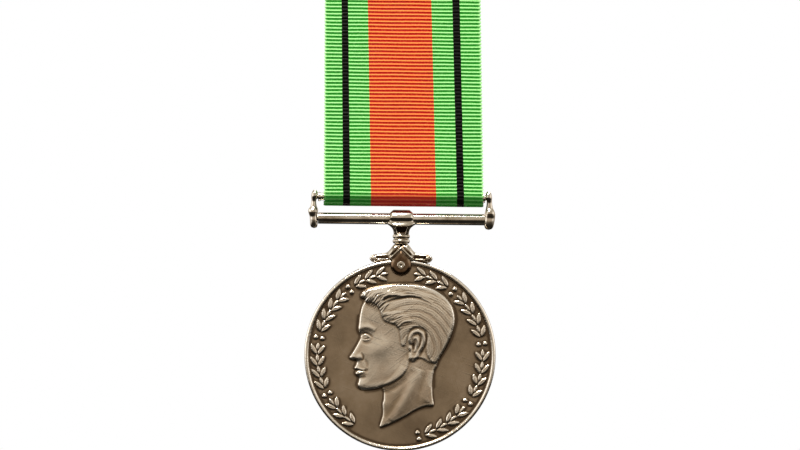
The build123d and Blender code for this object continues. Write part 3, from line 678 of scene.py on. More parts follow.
def toe_mesh(name, side):
    """A toe: rings of its outline, from its middle out over the face and back under it to the disc.
    The outline is a circle with a right-angled peak, whose radius is the circle's over the cosine of 45 degrees
    less the bearing. The face is flat over its inner part, then bevelled, and rounds over at the edge."""
    around = 144
    bearing = np.arange(around) * 2 * np.pi / around
    off = np.minimum(bearing, 2 * np.pi - bearing)
    outline = toe_radius / np.cos(np.clip(np.pi / 4 - off, 0, None))
    share = np.concatenate([np.linspace(0.03, 0.66, 8), 0.66
                            + 0.34 * np.sin(np.linspace(0.12, 1, 14) * np.pi / 2), [0.9, 0.5, 0.03]])
    flat_share = 0.7
    edge = np.clip((share - flat_share) / (1 - flat_share), 0, 1)
    height = toe_thickness * (1 - 0.5 * edge**1.1 - 0.49 * edge**9)
    height[-3:] = -0.01
    x = share[:, None] * outline[None] * np.sin(bearing)[None]
    z = share[:, None] * outline[None] * np.cos(bearing)[None] + rivet_up
    y = side * (disc_half + np.broadcast_to(height[:, None], x.shape))
    points = np.stack([x, y, z], -1)
    placed, faces = closed_rings(points, rising=False)
    if side > 0:
        faces = [f[::-1] for f in faces]
    return mesh_object(name, placed, faces)


disc_half = (disc_high.y - disc_low.y) / 2 / MM
toe_thickness = (toe_high.y - toe_low.y) / MM
for side, name, node in ((-1, "toe_front", "claw_front_toe"), (1, "toe_back", "claw_back_toe")):
    toe = toe_mesh(name, side)
    toe.data.materials.append(toned_claw)
    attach(toe, "medal")
    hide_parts(node)
bright_rivet = metal("cupro-nickel rivet, headed cold", ("#8d8272", "#cbc4b6", "#ebe7dd"), (0.12, 0.24), 0.5,
                     0.03)
finish_nodes(bright_rivet, "claw_rivet")

# ------------------------------------------------------------------------------------------------------------
# DISC: a cupro-nickel blank struck between two dies inside a collar, so both faces and the rims are one piece.
# The fields keep a satin skin from the dies and have toned, and handling has brightened every raised edge.
# ------------------------------------------------------------------------------------------------------------

rim_height = (disc_high.y - disc_low.y) / 2  # of each rim's top from the disc's middle plane
field_height = rim_height - 0.4 * MM
edge_round = 0.3 * MM
rim_width, rim_slope, crown_reach = 0.8, 0.2, 0.42  # of the raised rim, in millimetres


def round_grid(cells):
    """x and z in millimetres of a square grid of points bent into the disc: each square ring becomes a circle
    of the ring's half side, and its corners go to the diagonals."""
    half = np.linspace(-1, 1, cells + 1)
    u, v = np.meshgrid(half, half, indexing="ij")
    wide = np.abs(u) >= np.abs(v)
    radius = np.where(wide, u, v)
    safe = np.where(radius == 0, 1, radius)
    angle = np.where(wide, np.pi / 4 * v / safe, np.pi / 2 - np.pi / 4 * u / safe)
    return radius * np.cos(angle) * disc_radius / MM, radius * np.sin(angle) * disc_radius / MM


def reach(x, z, line):
    """How far each point is from a line of straight pieces, and how far along it, from 0 to 1, the nearest place is."""
    shape = x.shape
    p = np.stack([x.ravel(), z.ravel()], 1).astype(np.float32)[:, None]
    a, b = line[:-1].astype(np.float32)[None], line[1:].astype(np.float32)[None]
    run = b - a
    t = np.clip(((p - a) * run).sum(-1) / np.maximum((run**2).sum(-1), 1e-9), 0, 1)
    gap = ((p - a - t[..., None] * run) ** 2).sum(-1)
    near = gap.argmin(1)
    rows = np.arange(len(near))
    return np.sqrt(gap[rows, near]).reshape(shape), ((near + t[rows, near]) / (len(line) - 1)).reshape(shape)


def inside(x, z, outline):
    """The distance in from a closed outline, negative outside it: an even count of crossings is outside."""
    gap, _ = reach(x, z, outline)
    (ax, az), (bx, bz) = outline[:-1].T, outline[1:].T
    px, pz = x.ravel()[:, None], z.ravel()[:, None]
    crosses = ((az > pz) != (bz > pz)) & (px < (bx - ax) * (pz - az) / np.where(bz == az, 1e-9, bz - az) + ax)
    odd = (crosses.sum(1) % 2 == 1).reshape(x.shape)
    return np.where(odd, gap, -gap)


def mound(x, z, middle, size, turn=0.0):
    """A round-topped mound: the bell curve of the distance from its middle, over its size each way, turned."""
    c, s = math.cos(math.radians(turn)), math.sin(math.radians(turn))
    dx, dz = x - middle[0], z - middle[1]
    return np.exp(-(((dx * c + dz * s) / size[0]) ** 2) - ((dz * c - dx * s) / size[1]) ** 2)


def ridge(x, z, points, width, taper=0.5):
    """A ridge along a smooth line: the bell curve of the distance from it, lower towards its two ends."""
    gap, along = reach(x, z, through(points))
    ends = np.sin(np.pi * np.clip(along, 0.0, 1.0)) ** taper if taper else 1.0
    return np.exp(-((gap / width) ** 2)) * ends


def grain(x, z, size, seed):
    """Smooth noise from -1 to 1: random values on a square lattice, eased between."""
    lattice = np.random.default_rng(seed).uniform(-1, 1, (128, 128))
    u, v = x / size + 40.3, z / size + 40.7
    iu, iv = np.floor(u).astype(int), np.floor(v).astype(int)
    fu, fv = step(u - iu), step(v - iv)
    get = lambda i, j: lattice[i % 128, j % 128]
    low = get(iu, iv) * (1 - fu) + get(iu + 1, iv) * fu
    high = get(iu, iv + 1) * (1 - fu) + get(iu + 1, iv + 1) * fu
    return low * (1 - fv) + high * fv


def locks(x, z, first, last, count, width, seed):
    """A lock of hair: count tapering strands side by side, each a curve through three points that go evenly
    from the first strand's to the last one's. The result is the highest strand at each point, 0 to 1."""
    rng = np.random.default_rng(seed)
    result = np.zeros_like(x)
    for share in np.linspace(0, 1, count):
        points = np.array(first) * (1 - share) + np.array(last) * share
        points = points + rng.normal(0, 0.09, points.shape)
        strand = ridge(x, z, points, width * rng.uniform(0.8, 1.25), 0.6)
        result = np.maximum(result, strand * rng.uniform(0.7, 1.0))
    return result


def portrait(x, z):
    """The head's relief over the field, in millimetres: a bare-headed man in profile on plain proportions.
    The face is in equal thirds from hairline to brow, nose and chin, and the eye is at half the head's height.
    The outline gives a step and a dome, mounds and ridges on it give the features, and strands the hair."""
    hairline, brow, nose, chin = 10.3, 4.7, -1.0, -6.7
    face = [(-6.9, hairline), (-7.45, 8.9), (-7.75, 7.3), (-7.9, 5.9), (-8.0, brow + 0.2),
            (-7.85, brow - 0.6),
            (-7.6, brow - 1.35), (-7.95, brow - 2.3), (-8.65, brow - 3.6), (-9.35, brow - 4.7),
            (-9.6, nose + 0.62), (-9.4, nose + 0.12),
            (-8.75, nose - 0.12), (-8.3, nose - 0.25), (-8.32, nose - 0.75), (-8.6, nose - 1.3),
            (-8.62, nose - 1.62), (-8.22, nose - 1.95),
            (-8.42, nose - 2.3), (-8.36, nose - 2.8), (-7.85, nose - 3.35), (-7.8, nose - 3.85),
            (-8.0, nose - 4.5), (-7.85, nose - 5.15), (-7.3, chin + 0.05), (-6.5, chin)]
    jaw = [(-5.0, chin + 0.1), (-3.2, chin + 0.55), (-1.2, chin + 1.35), (0.5, chin + 2.5), (1.5, chin + 3.9),
           (1.9, nose - 0.4), (2.3, nose + 0.1)]
    back = [(4.0, nose + 0.2), (5.6, -1.6), (7.0, -1.4), (7.7, -0.3), (9.0, 2.0), (10.0, 4.6), (10.35, 7.0),
            (9.7, 9.5), (7.9, 11.6), (5.3, 12.9), (2.2, 13.5),
            (-1.0, 13.45), (-3.8, 13.1), (-6.2, 12.5), (-7.5, 11.6), (-7.6, 10.8)]
    head_in = inside(x, z, through(face + jaw + back, closed=True, steps=6))
    neck = [(-3.6, -4.5), (-3.15, -7.0), (-3.1, -8.3), (-3.3, -9.3), (-3.25, -11.2), (-3.8, -13.55),
            (-2.6, -13.45), (-0.9, -12.7), (1.0, -11.7), (3.2, -10.4), (5.0, -9.7),
            (6.5, -9.45), (6.35, -7.6), (6.25, -5.4), (6.5, -3.2), (7.3, -1.0), (6.4, 2.0), (0.0, 1.0)]
    neck_in = inside(x, z, through(neck, closed=True, steps=6))
    whole_in = np.maximum(head_in, neck_in)
    h = 0.15 * step(whole_in / 0.32) + 0.2 * (1 - np.exp(-np.maximum(whole_in, 0) / 2.6))
    head_on = step(head_in / 0.55)
    h = h + 0.085 * head_on
    # the skull, the cheek and the forehead
    h += 0.1 * head_on * mound(x, z, (2.6, 7.2), (6.5, 5.0))
    h += 0.1 * head_on * mound(x, z, (-3.7, 1.4), (2.1, 1.35), 24)
    h += 0.035 * head_on * mound(x, z, (-5.6, 7.6), (1.8, 1.7))
    h -= 0.05 * head_on * mound(x, z, (-3.6, 5.2), (1.5, 1.9), 10)
    h -= 0.045 * head_on * mound(x, z, (-3.4, -1.9), (1.7, 1.5), 30)
    h += 0.06 * head_on * mound(x, z, (-0.4, -3.0), (1.6, 2.0), -35)
    h += 0.05 * head_on * ridge(x, z,
                                [(-6.6, chin + 0.75), (-4.2, chin + 1.0), (-2.0, chin + 1.8),
                                 (-0.1, chin + 3.0), (1.0, chin + 4.4)], 0.65, 0.3)
    # the brow, the socket, the eye and its lids
    eye = (-6.55, brow - 1.45)
    h += 0.085 * ridge(x, z, [(-7.75, brow + 0.1), (-6.9, brow + 0.55), (-5.8, brow + 0.5),
                              (-4.7, brow - 0.1)], 0.5, 0.4)
    h -= 0.1 * mound(x, z, (-6.75, brow - 1.2), (1.1, 0.95), -15)
    h -= 0.06 * mound(x, z, (-7.2, brow - 0.95), (0.5, 0.6), 0)
    h += 0.1 * mound(x, z, eye, (0.72, 0.5), 8)
    h += 0.075 * ridge(x, z, [(-7.3, eye[1] + 0.12), (-6.85, eye[1] + 0.45), (-6.2, eye[1] + 0.42),
                              (-5.5, eye[1] - 0.1)], 0.17, 0.35)
    h -= 0.05 * ridge(x, z, [(-7.15, eye[1] + 0.6), (-6.5, eye[1] + 0.82), (-5.6, eye[1] + 0.45),
                             (-5.1, eye[1] + 0.05)], 0.17, 0.5)
    h += 0.045 * ridge(x, z, [(-7.2, eye[1] - 0.3), (-6.6, eye[1] - 0.5), (-5.9, eye[1] - 0.4),
                              (-5.5, eye[1] - 0.15)], 0.15, 0.5)
    h -= 0.05 * ridge(x, z, [(-7.15, eye[1] - 0.05), (-6.6, eye[1] - 0.22), (-5.85, eye[1] - 0.12)], 0.1, 0.6)
    h -= 0.03 * ridge(x, z, [(-7.1, eye[1] - 0.85), (-6.3, eye[1] - 1.1), (-5.3, eye[1] - 0.85)], 0.25, 0.7)
    # the nose: its wing, the nostril and the fold beside it
    wing = (-7.75, nose + 0.55)
    h += 0.05 * ridge(x, z, [(-7.9, brow - 1.6), (-8.3, brow - 2.8), (-9.0, brow - 4.2)], 0.45, 0.5)
    h += 0.115 * mound(x, z, wing, (0.62, 0.55), 20)
    h += 0.05 * mound(x, z, (-8.95, nose + 0.65), (0.5, 0.5))
    h -= 0.07 * ridge(x, z, [(-7.35, nose + 1.35), (-6.95, nose + 0.75), (-6.95, nose + 0.15),
                             (-7.35, nose - 0.15)], 0.19, 0.6)
    h -= 0.12 * mound(x, z, (-8.45, nose + 0.12), (0.38, 0.17), -12)
    h -= 0.035 * ridge(x, z, [(-6.75, nose + 0.3), (-6.2, nose - 0.6), (-6.15, nose - 1.5)], 0.3, 0.7)
    # the lips, at rest, and the chin
    mouth = nose - 1.95
    h += 0.07 * ridge(x, z, [(-8.6, mouth + 0.45), (-7.9, mouth + 0.42), (-7.1, mouth + 0.16), (-6.6, mouth)],
                      0.24, 0.25)
    h += 0.075 * ridge(x, z, [(-8.4, mouth - 0.5), (-7.8, mouth - 0.52), (-7.1, mouth - 0.32),
                              (-6.7, mouth - 0.1)], 0.27, 0.25)
    h -= 0.095 * ridge(x, z, [(-8.5, mouth), (-7.7, mouth - 0.02), (-7.0, mouth - 0.03),
                              (-6.45, mouth + 0.02)], 0.13, 0.2)
    h -= 0.05 * mound(x, z, (-6.25, mouth + 0.02), (0.28, 0.3))
    h -= 0.05 * ridge(x, z, [(-8.0, mouth - 1.35), (-7.2, mouth - 1.4), (-6.4, mouth - 1.15)], 0.3, 0.4)
    h += 0.065 * mound(x, z, (-7.15, chin + 1.2), (0.95, 0.85))
    # the neck: its long muscle, the hollow before it and the throat
    below = step(-head_in / 0.6)
    h -= 0.05 * ridge(x, z, [(-4.6, chin - 0.35), (-2.6, chin - 0.1), (-0.6, chin + 0.8), (1.2, chin + 2.3),
                             (2.3, chin + 4.0)], 0.5, 0.2) * step(-head_in / 0.2)
    h += 0.09 * below * ridge(x, z, [(3.8, -2.6), (2.6, -5.2), (1.0, -8.4), (-1.4, -12.4)], 0.85, 0.25)
    h -= 0.05 * below * ridge(x, z, [(1.5, -4.4), (0.2, -7.2), (-1.4, -10.0), (-2.4, -12.0)], 0.7, 0.6)
    h += 0.04 * below * mound(x, z, (-2.6, -8.8), (0.7, 1.1))
    h += 0.05 * below * ridge(x, z, [(5.9, -2.8), (5.4, -5.5), (5.3, -8.8)], 0.7, 0.3)
    h -= 0.04 * below * ridge(x, z, [(4.7, -3.2), (4.0, -6.0), (3.2, -9.4)], 0.5, 0.6)
    # the ear, between the lines of the brow and the nose
    rim = [(2.05, 2.1), (1.75, 3.1), (2.2, 4.15), (3.15, 4.6), (4.1, 4.2), (4.45, 3.1), (4.15, 1.8),
           (3.5, 0.7), (3.1, -0.3), (2.45, -0.95), (1.95, -0.5), (1.85, 0.5)]
    ear_in = inside(x, z, through(rim + [(1.7, 1.4)], closed=True, steps=5))
    hair_line = [(-7.9, 10.6), (-6.7, 9.9), (-5.5, 9.75), (-4.5, 9.2), (-3.9, 8.2), (-3.6, 7.1), (-3.0, 6.3),
                 (-2.0, 5.9), (-1.0, 5.6), (-0.35, 4.8), (-0.1, 3.4), (0.1, 1.9), (0.95, 1.7),
                 (1.4, 3.2), (1.9, 4.6), (3.1, 5.25), (4.4, 4.8), (5.0, 3.6), (4.9, 2.0), (4.9, 0.5),
                 (5.5, -0.9), (6.6, -1.9), (8.5, -2.6), (12.5, 3.0), (12.5, 9.0), (8.0, 15.0),
                 (0.0, 16.0), (-7.0, 14.5), (-10.0, 12.0)]
    hair_in = inside(x, z, through(hair_line, closed=True, steps=5))
    hair_in = np.minimum(hair_in, head_in + 0.1)
    hair_on = step(hair_in / 0.35)
    # combed side hair: rows of strands that run round the ear, from the temple over and down to the nape
    from_ear = np.hypot((x - 2.4) * 0.93, (z - 1.9)) + 0.14 * grain(x, z, 2.6,
            11) + 0.35 * np.clip((x - 4) / 6, 0, 1) * np.clip((5 - z) / 6, 0, 1)
    round_ear = np.arctan2(z - 1.9, x - 2.4)
    coarse = np.abs(np.sin(np.pi * (from_ear / 1.25 + 0.22 * np.sin(round_ear * 3.1))))
    fine = np.abs(np.sin(np.pi * (from_ear / 0.42 + 0.5 * grain(x, z, 1.3, 12)
                                  + 0.6 * np.sin(round_ear * 2.3))))
    cropped = 1 - 0.45 * step((x - 2.5) / 5) * step((9.5 - z) / 3)  # cut close behind the ear
    h += hair_on * (0.05 + 0.03 * coarse**0.7
                    + 0.045 * cropped * fine**0.8 * (0.6 + 0.4 * grain(x, z, 1.7, 13)))
    # the parting's ridge and the swept front
    top = step(head_in / 0.3)
    front = locks(x, z, [(-7.0, 10.3), (-6.7, 12.0), (-3.6, 12.75)], [(-3.9, 9.0), (-2.6, 11.0), (1.2, 11.4)],
                  12, 0.21, 21)
    swept = locks(x, z, [(-4.4, 12.9), (0.2, 13.2), (4.6, 12.6)], [(-1.6, 10.6), (2.0, 11.4), (6.2, 9.9)], 9,
                  0.22, 22)
    roots = locks(x, z, [(-6.6, 9.9), (-6.3, 10.6), (-5.5, 11.4)], [(-3.7, 8.0), (-3.0, 9.1), (-1.9, 9.9)],
                  10, 0.15, 23)
    temple = locks(x, z, [(-3.7, 7.6), (-1.9, 8.0), (0.4, 8.3)], [(-0.6, 5.3), (0.6, 6.2), (2.4, 6.6)], 9,
                   0.19, 24)
    h += top * (0.17 * mound(x, z, (-4.2, 11.5), (3.0, 1.15), 14) + 0.21 * front + 0.11 * swept
                + 0.12 * roots + 0.13 * temple)
    # where the hair is parted there is a narrow furrow
    h -= 0.07 * top * ridge(x, z, [(-4.1, 8.9), (-1.8, 10.2), (1.4, 10.9), (4.2, 10.6)], 0.2, 0.4)
    ear_on = step(ear_in / 0.22)
    h = h + 0.05 * ear_on
    h += 0.13 * ridge(x, z, rim, 0.27, 0.15)
    h -= 0.05 * ridge(x, z, [(2.5, 3.6), (3.3, 3.95), (3.85, 3.2), (3.65, 1.9), (3.15, 0.9)], 0.2, 0.5)
    h += 0.08 * ridge(x, z, [(2.45, 3.1), (3.0, 3.25), (3.3, 2.5), (3.05, 1.3), (2.6, 0.6)], 0.22, 0.4)
    h -= 0.15 * mound(x, z, (2.45, 1.75), (0.42, 0.75), 8)
    h += 0.09 * mound(x, z, (1.85, 1.4), (0.26, 0.42))
    h += 0.05 * mound(x, z, (2.5, -0.35), (0.5, 0.42))
    h -= 0.05 * ridge(x, z, [(4.75, 4.0), (4.9, 2.6), (4.3, 1.0), (3.7, -0.3)], 0.25, 0.5)
    return np.where(whole_in > -0.02, np.maximum(h, 0), 0) * step(whole_in / 0.3 + 0.05)


def leaf(along, across, start, turn, length, width):
    """One leaf, 0 to 1: its half width is a sine along it, and it is crowned with a groove down its middle."""
    c, s = math.cos(math.radians(turn)), math.sin(math.radians(turn))
    a = ((along - start[0]) * c + (across - start[1]) * s) / length
    b = ((across - start[1]) * c - (along - start[0]) * s) / (width / 2)
    half = np.sin(np.pi * np.clip(a, 0, 1)) ** 0.75 * (1.12 - 0.25 * a)
    crown = np.clip(1 - (b / np.maximum(half, 1e-3)) ** 2, 0, 1) ** 0.5
    return np.where((a > 0) & (a < 1), crown * (1 - 0.35 * np.exp(-((b / 0.16) ** 2))), 0)


def border(x, z):
    """The border of leaf pairs and beads. The way round from the top is cut into equal places, and each place
    holds one leaf pair that points along the branch, or a pair of beads after every fourth pair."""
    r = np.hypot(x, z)
    middle = 15.55
    bearing = np.degrees(np.arctan2(x, z))
    side = np.where(bearing < 0, -1, 1)
    pitch = np.where(bearing < 0, 8.1, 8.5)
    first, last = 13.6, np.where(bearing < 0, 150.0, 168.0)
    way = np.abs(bearing)
    result = np.zeros_like(x)
    for neighbour in (-1, 0, 1):
        place = np.floor((way - first) / pitch + 0.5) + neighbour
        centre = first + place * pitch
        used = (place >= 0) & (centre < last)
        along = np.radians(way - centre) * middle
        across = r - middle
        bead = np.mod(place, 5) == 3
        pair = np.maximum(leaf(-along, across, (-0.95, 0.12), 33, 2.15, 0.86),
                          leaf(-along, across, (-0.95, -0.12), -33, 2.15, 0.86))
        pair = np.maximum(pair, 0.9 * leaf(-along, across, (-0.2, 0.0), 0, 1.5, 0.6))
        beads = np.maximum(np.sqrt(np.clip(1 - (along**2 + (across - 0.62) ** 2) / 0.4**2, 0, 1)),
                           np.sqrt(np.clip(1 - (along**2 + (across + 0.62) ** 2) / 0.4**2, 0, 1)))
        result = np.maximum(result, np.where(used, np.where(bead, beads, pair), 0))
    return 0.2 * result


def wreath(x, z):
    """The reverse: two laurel branches round a plain panel, tied at the foot. Each place on a branch has an
    outer leaf, an inner leaf and a berry, all mirrored about the upright."""
    r = np.hypot(x, z)
    way = 180 - np.abs(np.degrees(np.arctan2(x, z)))
    middle = 12.9
    result = 0.5 * np.exp(-(((r - middle) / 0.22) ** 2)) * step((way - 3) / 4) * step((155 - way) / 5)
    pitch = 10.2
    for neighbour in (-1, 0, 1):
        place = np.floor((way - 10) / pitch + 0.5) + neighbour
        centre = 10 + place * pitch
        used = (place >= 0) & (centre < 152)
        along = np.radians(way - centre) * middle
        across = r - middle
        unit = np.maximum(leaf(along, across, (-0.9, 0.1), 34, 3.4, 1.35),
                          leaf(along, across, (-0.3, -0.1), -34, 3.2, 1.3))
        unit = np.maximum(unit, 0.85 * leaf(along, across, (-0.6, 0.0), 4, 3.0, 1.0))
        berry = np.sqrt(np.clip(1 - ((along - 1.2) ** 2 + (across - 2.15) ** 2) / 0.42**2, 0, 1))
        result = np.maximum(result, np.where(used, np.maximum(unit, berry), 0))
    knot = np.sqrt(np.clip(1 - (x / 1.5) ** 2 - ((z + middle) / 0.9) ** 2, 0, 1))
    tails = np.maximum(ridge(x, z, [(-0.3, -13.2), (-1.5, -14.6), (-2.9, -15.2)], 0.45, 0),
                       ridge(x, z, [(0.3, -13.2), (1.5, -14.6), (2.9, -15.2)], 0.45, 0))
    panel = 0.45 * np.exp(-(((r - 9.3) / 0.2) ** 2))
    return 0.2 * np.maximum(np.maximum(result, panel), np.maximum(knot, tails))


def face_height(x, z, relief):
    """The height of one face over the disc's middle plane, in metres: the field, its relief, and the rim,
    which rises from the field, is crowned, and rounds off to the disc's edge."""
    r = np.hypot(x, z)
    outer = disc_radius / MM
    rise = step((r - (outer - rim_width)) / rim_slope)
    crown = 0.06 * np.clip(1 - ((r - (outer - crown_reach)) / crown_reach) ** 2, 0, 1)
    fall = edge_round / MM * (1 - np.sqrt(np.clip(1 - np.clip((r - (outer - 0.3)) / 0.3, 0, 1) ** 2, 0, 1)))
    dish = -0.02 * np.clip(1 - (r / 17.0) ** 2, 0, 1)
    height = field_height / MM + (relief + dish) * (1 - rise) + rise * (0.34 + crown) - fall
    return height * MM


def eased(grid, times):
    """The grid smoothed by giving each point the mean of itself and its neighbours, several times over."""
    for _ in range(times):
        padded = np.pad(grid, 1, mode="edge")
        grid = (padded[:-2, 1:-1] + padded[2:, 1:-1] + padded[1:-1, :-2] + padded[1:-1, 2:] + 2 * grid) / 6
    return grid


def disc_mesh():
    """The disc as one closed mesh: the obverse's grid, the reverse's coarser one with half as many points
    round it, and between them a wall whose last row joins two fine edges to one coarse edge."""
    fine, coarse = 272, 136
    x, z = round_grid(fine)
    relief = np.zeros_like(x)
    r = np.hypot(x, z)
    inner, ring = r < 14.35, (r > 13.6) & (r < 17.1)
    relief[inner] = portrait(x[inner], z[inner])
    relief[ring] = np.maximum(relief[ring], border(x[ring], z[ring]))
    front = face_height(x, z, relief)
    wear_front = np.clip((front - eased(front, 14)) / (0.05 * MM), -1, 1)
    bx, bz = round_grid(coarse)
    back = face_height(bx, bz, wreath(bx, bz))
    wear_back = np.clip((back - eased(back, 5)) / (0.05 * MM), -1, 1)
    obverse = np.stack([x * MM, plane_y - front, disc_z + z * MM], -1).reshape(-1, 3)
    reverse = np.stack([bx * MM, plane_y + back, disc_z + bz * MM], -1).reshape(-1, 3)
    index = np.arange((fine + 1) ** 2).reshape(fine + 1, fine + 1)
    other = np.arange((coarse + 1) ** 2).reshape(coarse + 1, coarse + 1) + len(obverse)

    def quads(grid, flip):
        q = np.stack([grid[:-1, :-1], grid[1:, :-1], grid[1:, 1:], grid[:-1, 1:]], -1).reshape(-1, 4)
        return q[:, ::-1] if flip else q

    def rim_ring(grid):
        return np.concatenate([grid[:-1, 0], grid[-1, :-1], grid[:0:-1, -1], grid[0, :0:-1]])

    ring_front, ring_back = rim_ring(index), rim_ring(other)
    edge = obverse[ring_front]
    share = np.linspace(0, 1, 5)[1:-1]
    back_y = plane_y + back[0, 0]
    wall = np.repeat(edge[None], len(share), 0)
    wall[..., 1] = edge[:, 1] * (1 - share[:, None]) + back_y * share[:, None]
    wall = wall.reshape(-1, 3)
    start = len(obverse) + len(reverse)
    count = len(ring_front)
    rings = [ring_front] + [np.arange(count) + start + k * count for k in range(len(share))]
    faces = [quads(index, False), quads(other, True)]
    for near, far in zip(rings[:-1], rings[1:]):
        faces.append(np.stack([near, far, np.roll(far, -1), np.roll(near, -1)], -1))
    a, b, c = rings[-1][0::2], rings[-1][1::2], np.roll(rings[-1], -2)[0::2]
    p, q = ring_back, np.roll(ring_back, -1)
    faces += [np.stack([a, p, b], -1), np.stack([b, p, q], -1), np.stack([b, q, c], -1)]
    all_faces = [f.tolist() for group in faces for f in group]
    disc = mesh_object("struck_disc", np.concatenate([obverse, reverse, wall]), all_faces)
    tone = disc.data.attributes.new("wear", "FLOAT", "POINT")
    tone.data.foreach_set("value", np.concatenate([wear_front.ravel(), wear_back.ravel(),
                                                   np.full(len(wall), -0.25)]).astype(np.float32))
    raised = disc.data.attributes.new("raised", "FLOAT", "POINT")
    lift = np.concatenate([((front - field_height) / (0.4 * MM)).ravel(),
                           ((back - field_height) / (0.4 * MM)).ravel(), np.full(len(wall), 0.1)])
    raised.data.foreach_set("value", np.clip(lift, 0, 1).astype(np.float32))
    return disc


disc = disc_mesh()

# Struck cupro-nickel, toned: brown-grey satin in the fields, darker where relief meets field, cream on the
# edges that handling has polished, with the fine criss-cross scratches of a medal that has been worn.
struck, tree, shader, place = new_material("cupro-nickel, struck, satin and toned")
shader.inputs["Metallic"].default_value = 1.0
wear = add(tree, "ShaderNodeAttribute", attribute_name="wear").outputs["Fac"]
cloud = add(tree, "ShaderNodeTexNoise", {"Scale": 1 / (9 * MM), "Detail": 4.0, "Roughness": 0.6},
            {"Vector": place})
clouded = add(tree, "ShaderNodeMapRange", {"From Min": 0.3, "From Max": 0.7, "To Min": -0.12, "To Max": 0.12},
              {"Value": cloud.outputs[0]})
high = add(tree, "ShaderNodeAttribute", attribute_name="raised").outputs["Fac"]
lifted = add(tree, "ShaderNodeMath", {1: 0.36, 2: 0.28}, {0: high}, operation="MULTIPLY_ADD")
level = add(tree, "ShaderNodeMath", {1: 0.6}, {0: wear, 2: lifted.outputs[0]}, operation="MULTIPLY_ADD",
            use_clamp=True)
toned = add(tree, "ShaderNodeMath", links={0: level.outputs[0], 1: clouded.outputs[0]}, operation="ADD",
            use_clamp=True)
tinted = add(tree, "ShaderNodeValToRGB", links={"Fac": toned.outputs[0]},
             stops=[(0.02, "#6c5d4c"), (0.3, "#b3a28b"), (0.52, "#dccebb"), (0.72, "#f6efe1"),
                    (0.95, "#fdf9f0")])
tree.links.new(tinted.outputs["Color"], shader.inputs["Base Color"])
# hairline scratches: three sets of stretched noise, each turned its own way, where only the peaks count
scratch_sum = None
for turn, seed in ((17, 0.0), (71, 31.0), (128, 57.0)):
    turned = add(tree, "ShaderNodeMapping",
                 {"Rotation": (0, math.radians(turn), 0), "Location": (seed, 0, 0)}, {"Vector": place})
    stretched = add(tree, "ShaderNodeMapping", {"Scale": (1 / (0.16 * MM), 1 / (4 * MM), 1 / (7 * MM))},
                    {"Vector": turned.outputs[0]})
    lines = add(tree, "ShaderNodeTexNoise", {"Scale": 1.0, "Detail": 2.0, "Roughness": 0.5},
                {"Vector": stretched.outputs[0]})
    peak = add(tree, "ShaderNodeMapRange", {"From Min": 0.62, "From Max": 0.74}, {"Value": lines.outputs[0]})
    scratch_sum = peak.outputs[0] if scratch_sum is None else add(tree, "ShaderNodeMath",
            links={0: scratch_sum, 1: peak.outputs[0]}, operation="MAXIMUM").outputs[0]
satin = add(tree, "ShaderNodeTexNoise", {"Scale": 1 / (0.22 * MM), "Detail": 3.0, "Roughness": 0.65},
            {"Vector": place})
height = add(tree, "ShaderNodeMath", {2: 0.0}, {0: scratch_sum, 1: satin.outputs[0]}, operation="SUBTRACT")
bump = add(tree, "ShaderNodeBump", {"Strength": 1.0, "Distance": 0.012 * MM}, {"Height": height.outputs[0]})
tree.links.new(bump.outputs[0], shader.inputs["Normal"])
rough = add(tree, "ShaderNodeMapRange", {"From Min": 0.25, "From Max": 0.8, "To Min": 0.3, "To Max": 0.18},
            {"Value": level.outputs[0]})
tree.links.new(rough.outputs[0], shader.inputs["Roughness"])
disc.data.materials.append(struck)
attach(disc, "medal")
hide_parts("medal_disc")

# ------------------------------------------------------------------------------------------------------------
# STUDIO: a sheet of pale paper under the medal, a soft sky with a bright panel to each side, two soft boxes
# above it, and a long lens level with the medal's middle. None of it belongs to the medal.
# ------------------------------------------------------------------------------------------------------------

scene = bpy.context.scene
scene.view_settings.view_transform = "Standard"
scene.view_settings.look = "None"

floor_z = disc_low.z - 40 * MM


def floor_mesh():
    """A round sheet whose height rises by a tenth of a millimetre in slow waves, so that it isn't dead flat."""
    radius, angle = np.meshgrid(np.linspace(0.002, 0.55, 24), np.arange(96) * 2 * np.pi / 96, indexing="ij")
    x, y = radius * np.cos(angle), radius * np.sin(angle)
    z = floor_z + 0.0001 * np.sin(x * 40) * np.cos(y * 40)
    return mesh_object("floor", np.stack([x, y, z], -1).reshape(-1, 3), ring_quads(*x.shape)[:, [0, 3, 2, 1]])


floor = floor_mesh()
card, tree, shader, place = new_material("matt paper, pale")
paper = add(tree, "ShaderNodeTexNoise", {"Scale": 900.0, "Detail": 4.0}, {"Vector": place})
tinted = add(tree, "ShaderNodeValToRGB", links={"Fac": paper.outputs[0]},
             stops=[(0.3, "#e6e5e2"), (0.7, "#efeeec")])
tree.links.new(tinted.outputs["Color"], shader.inputs["Base Color"])
shader.inputs["Roughness"].default_value = 0.9
floor.data.materials.append(card)
floor.visible_glossy = False

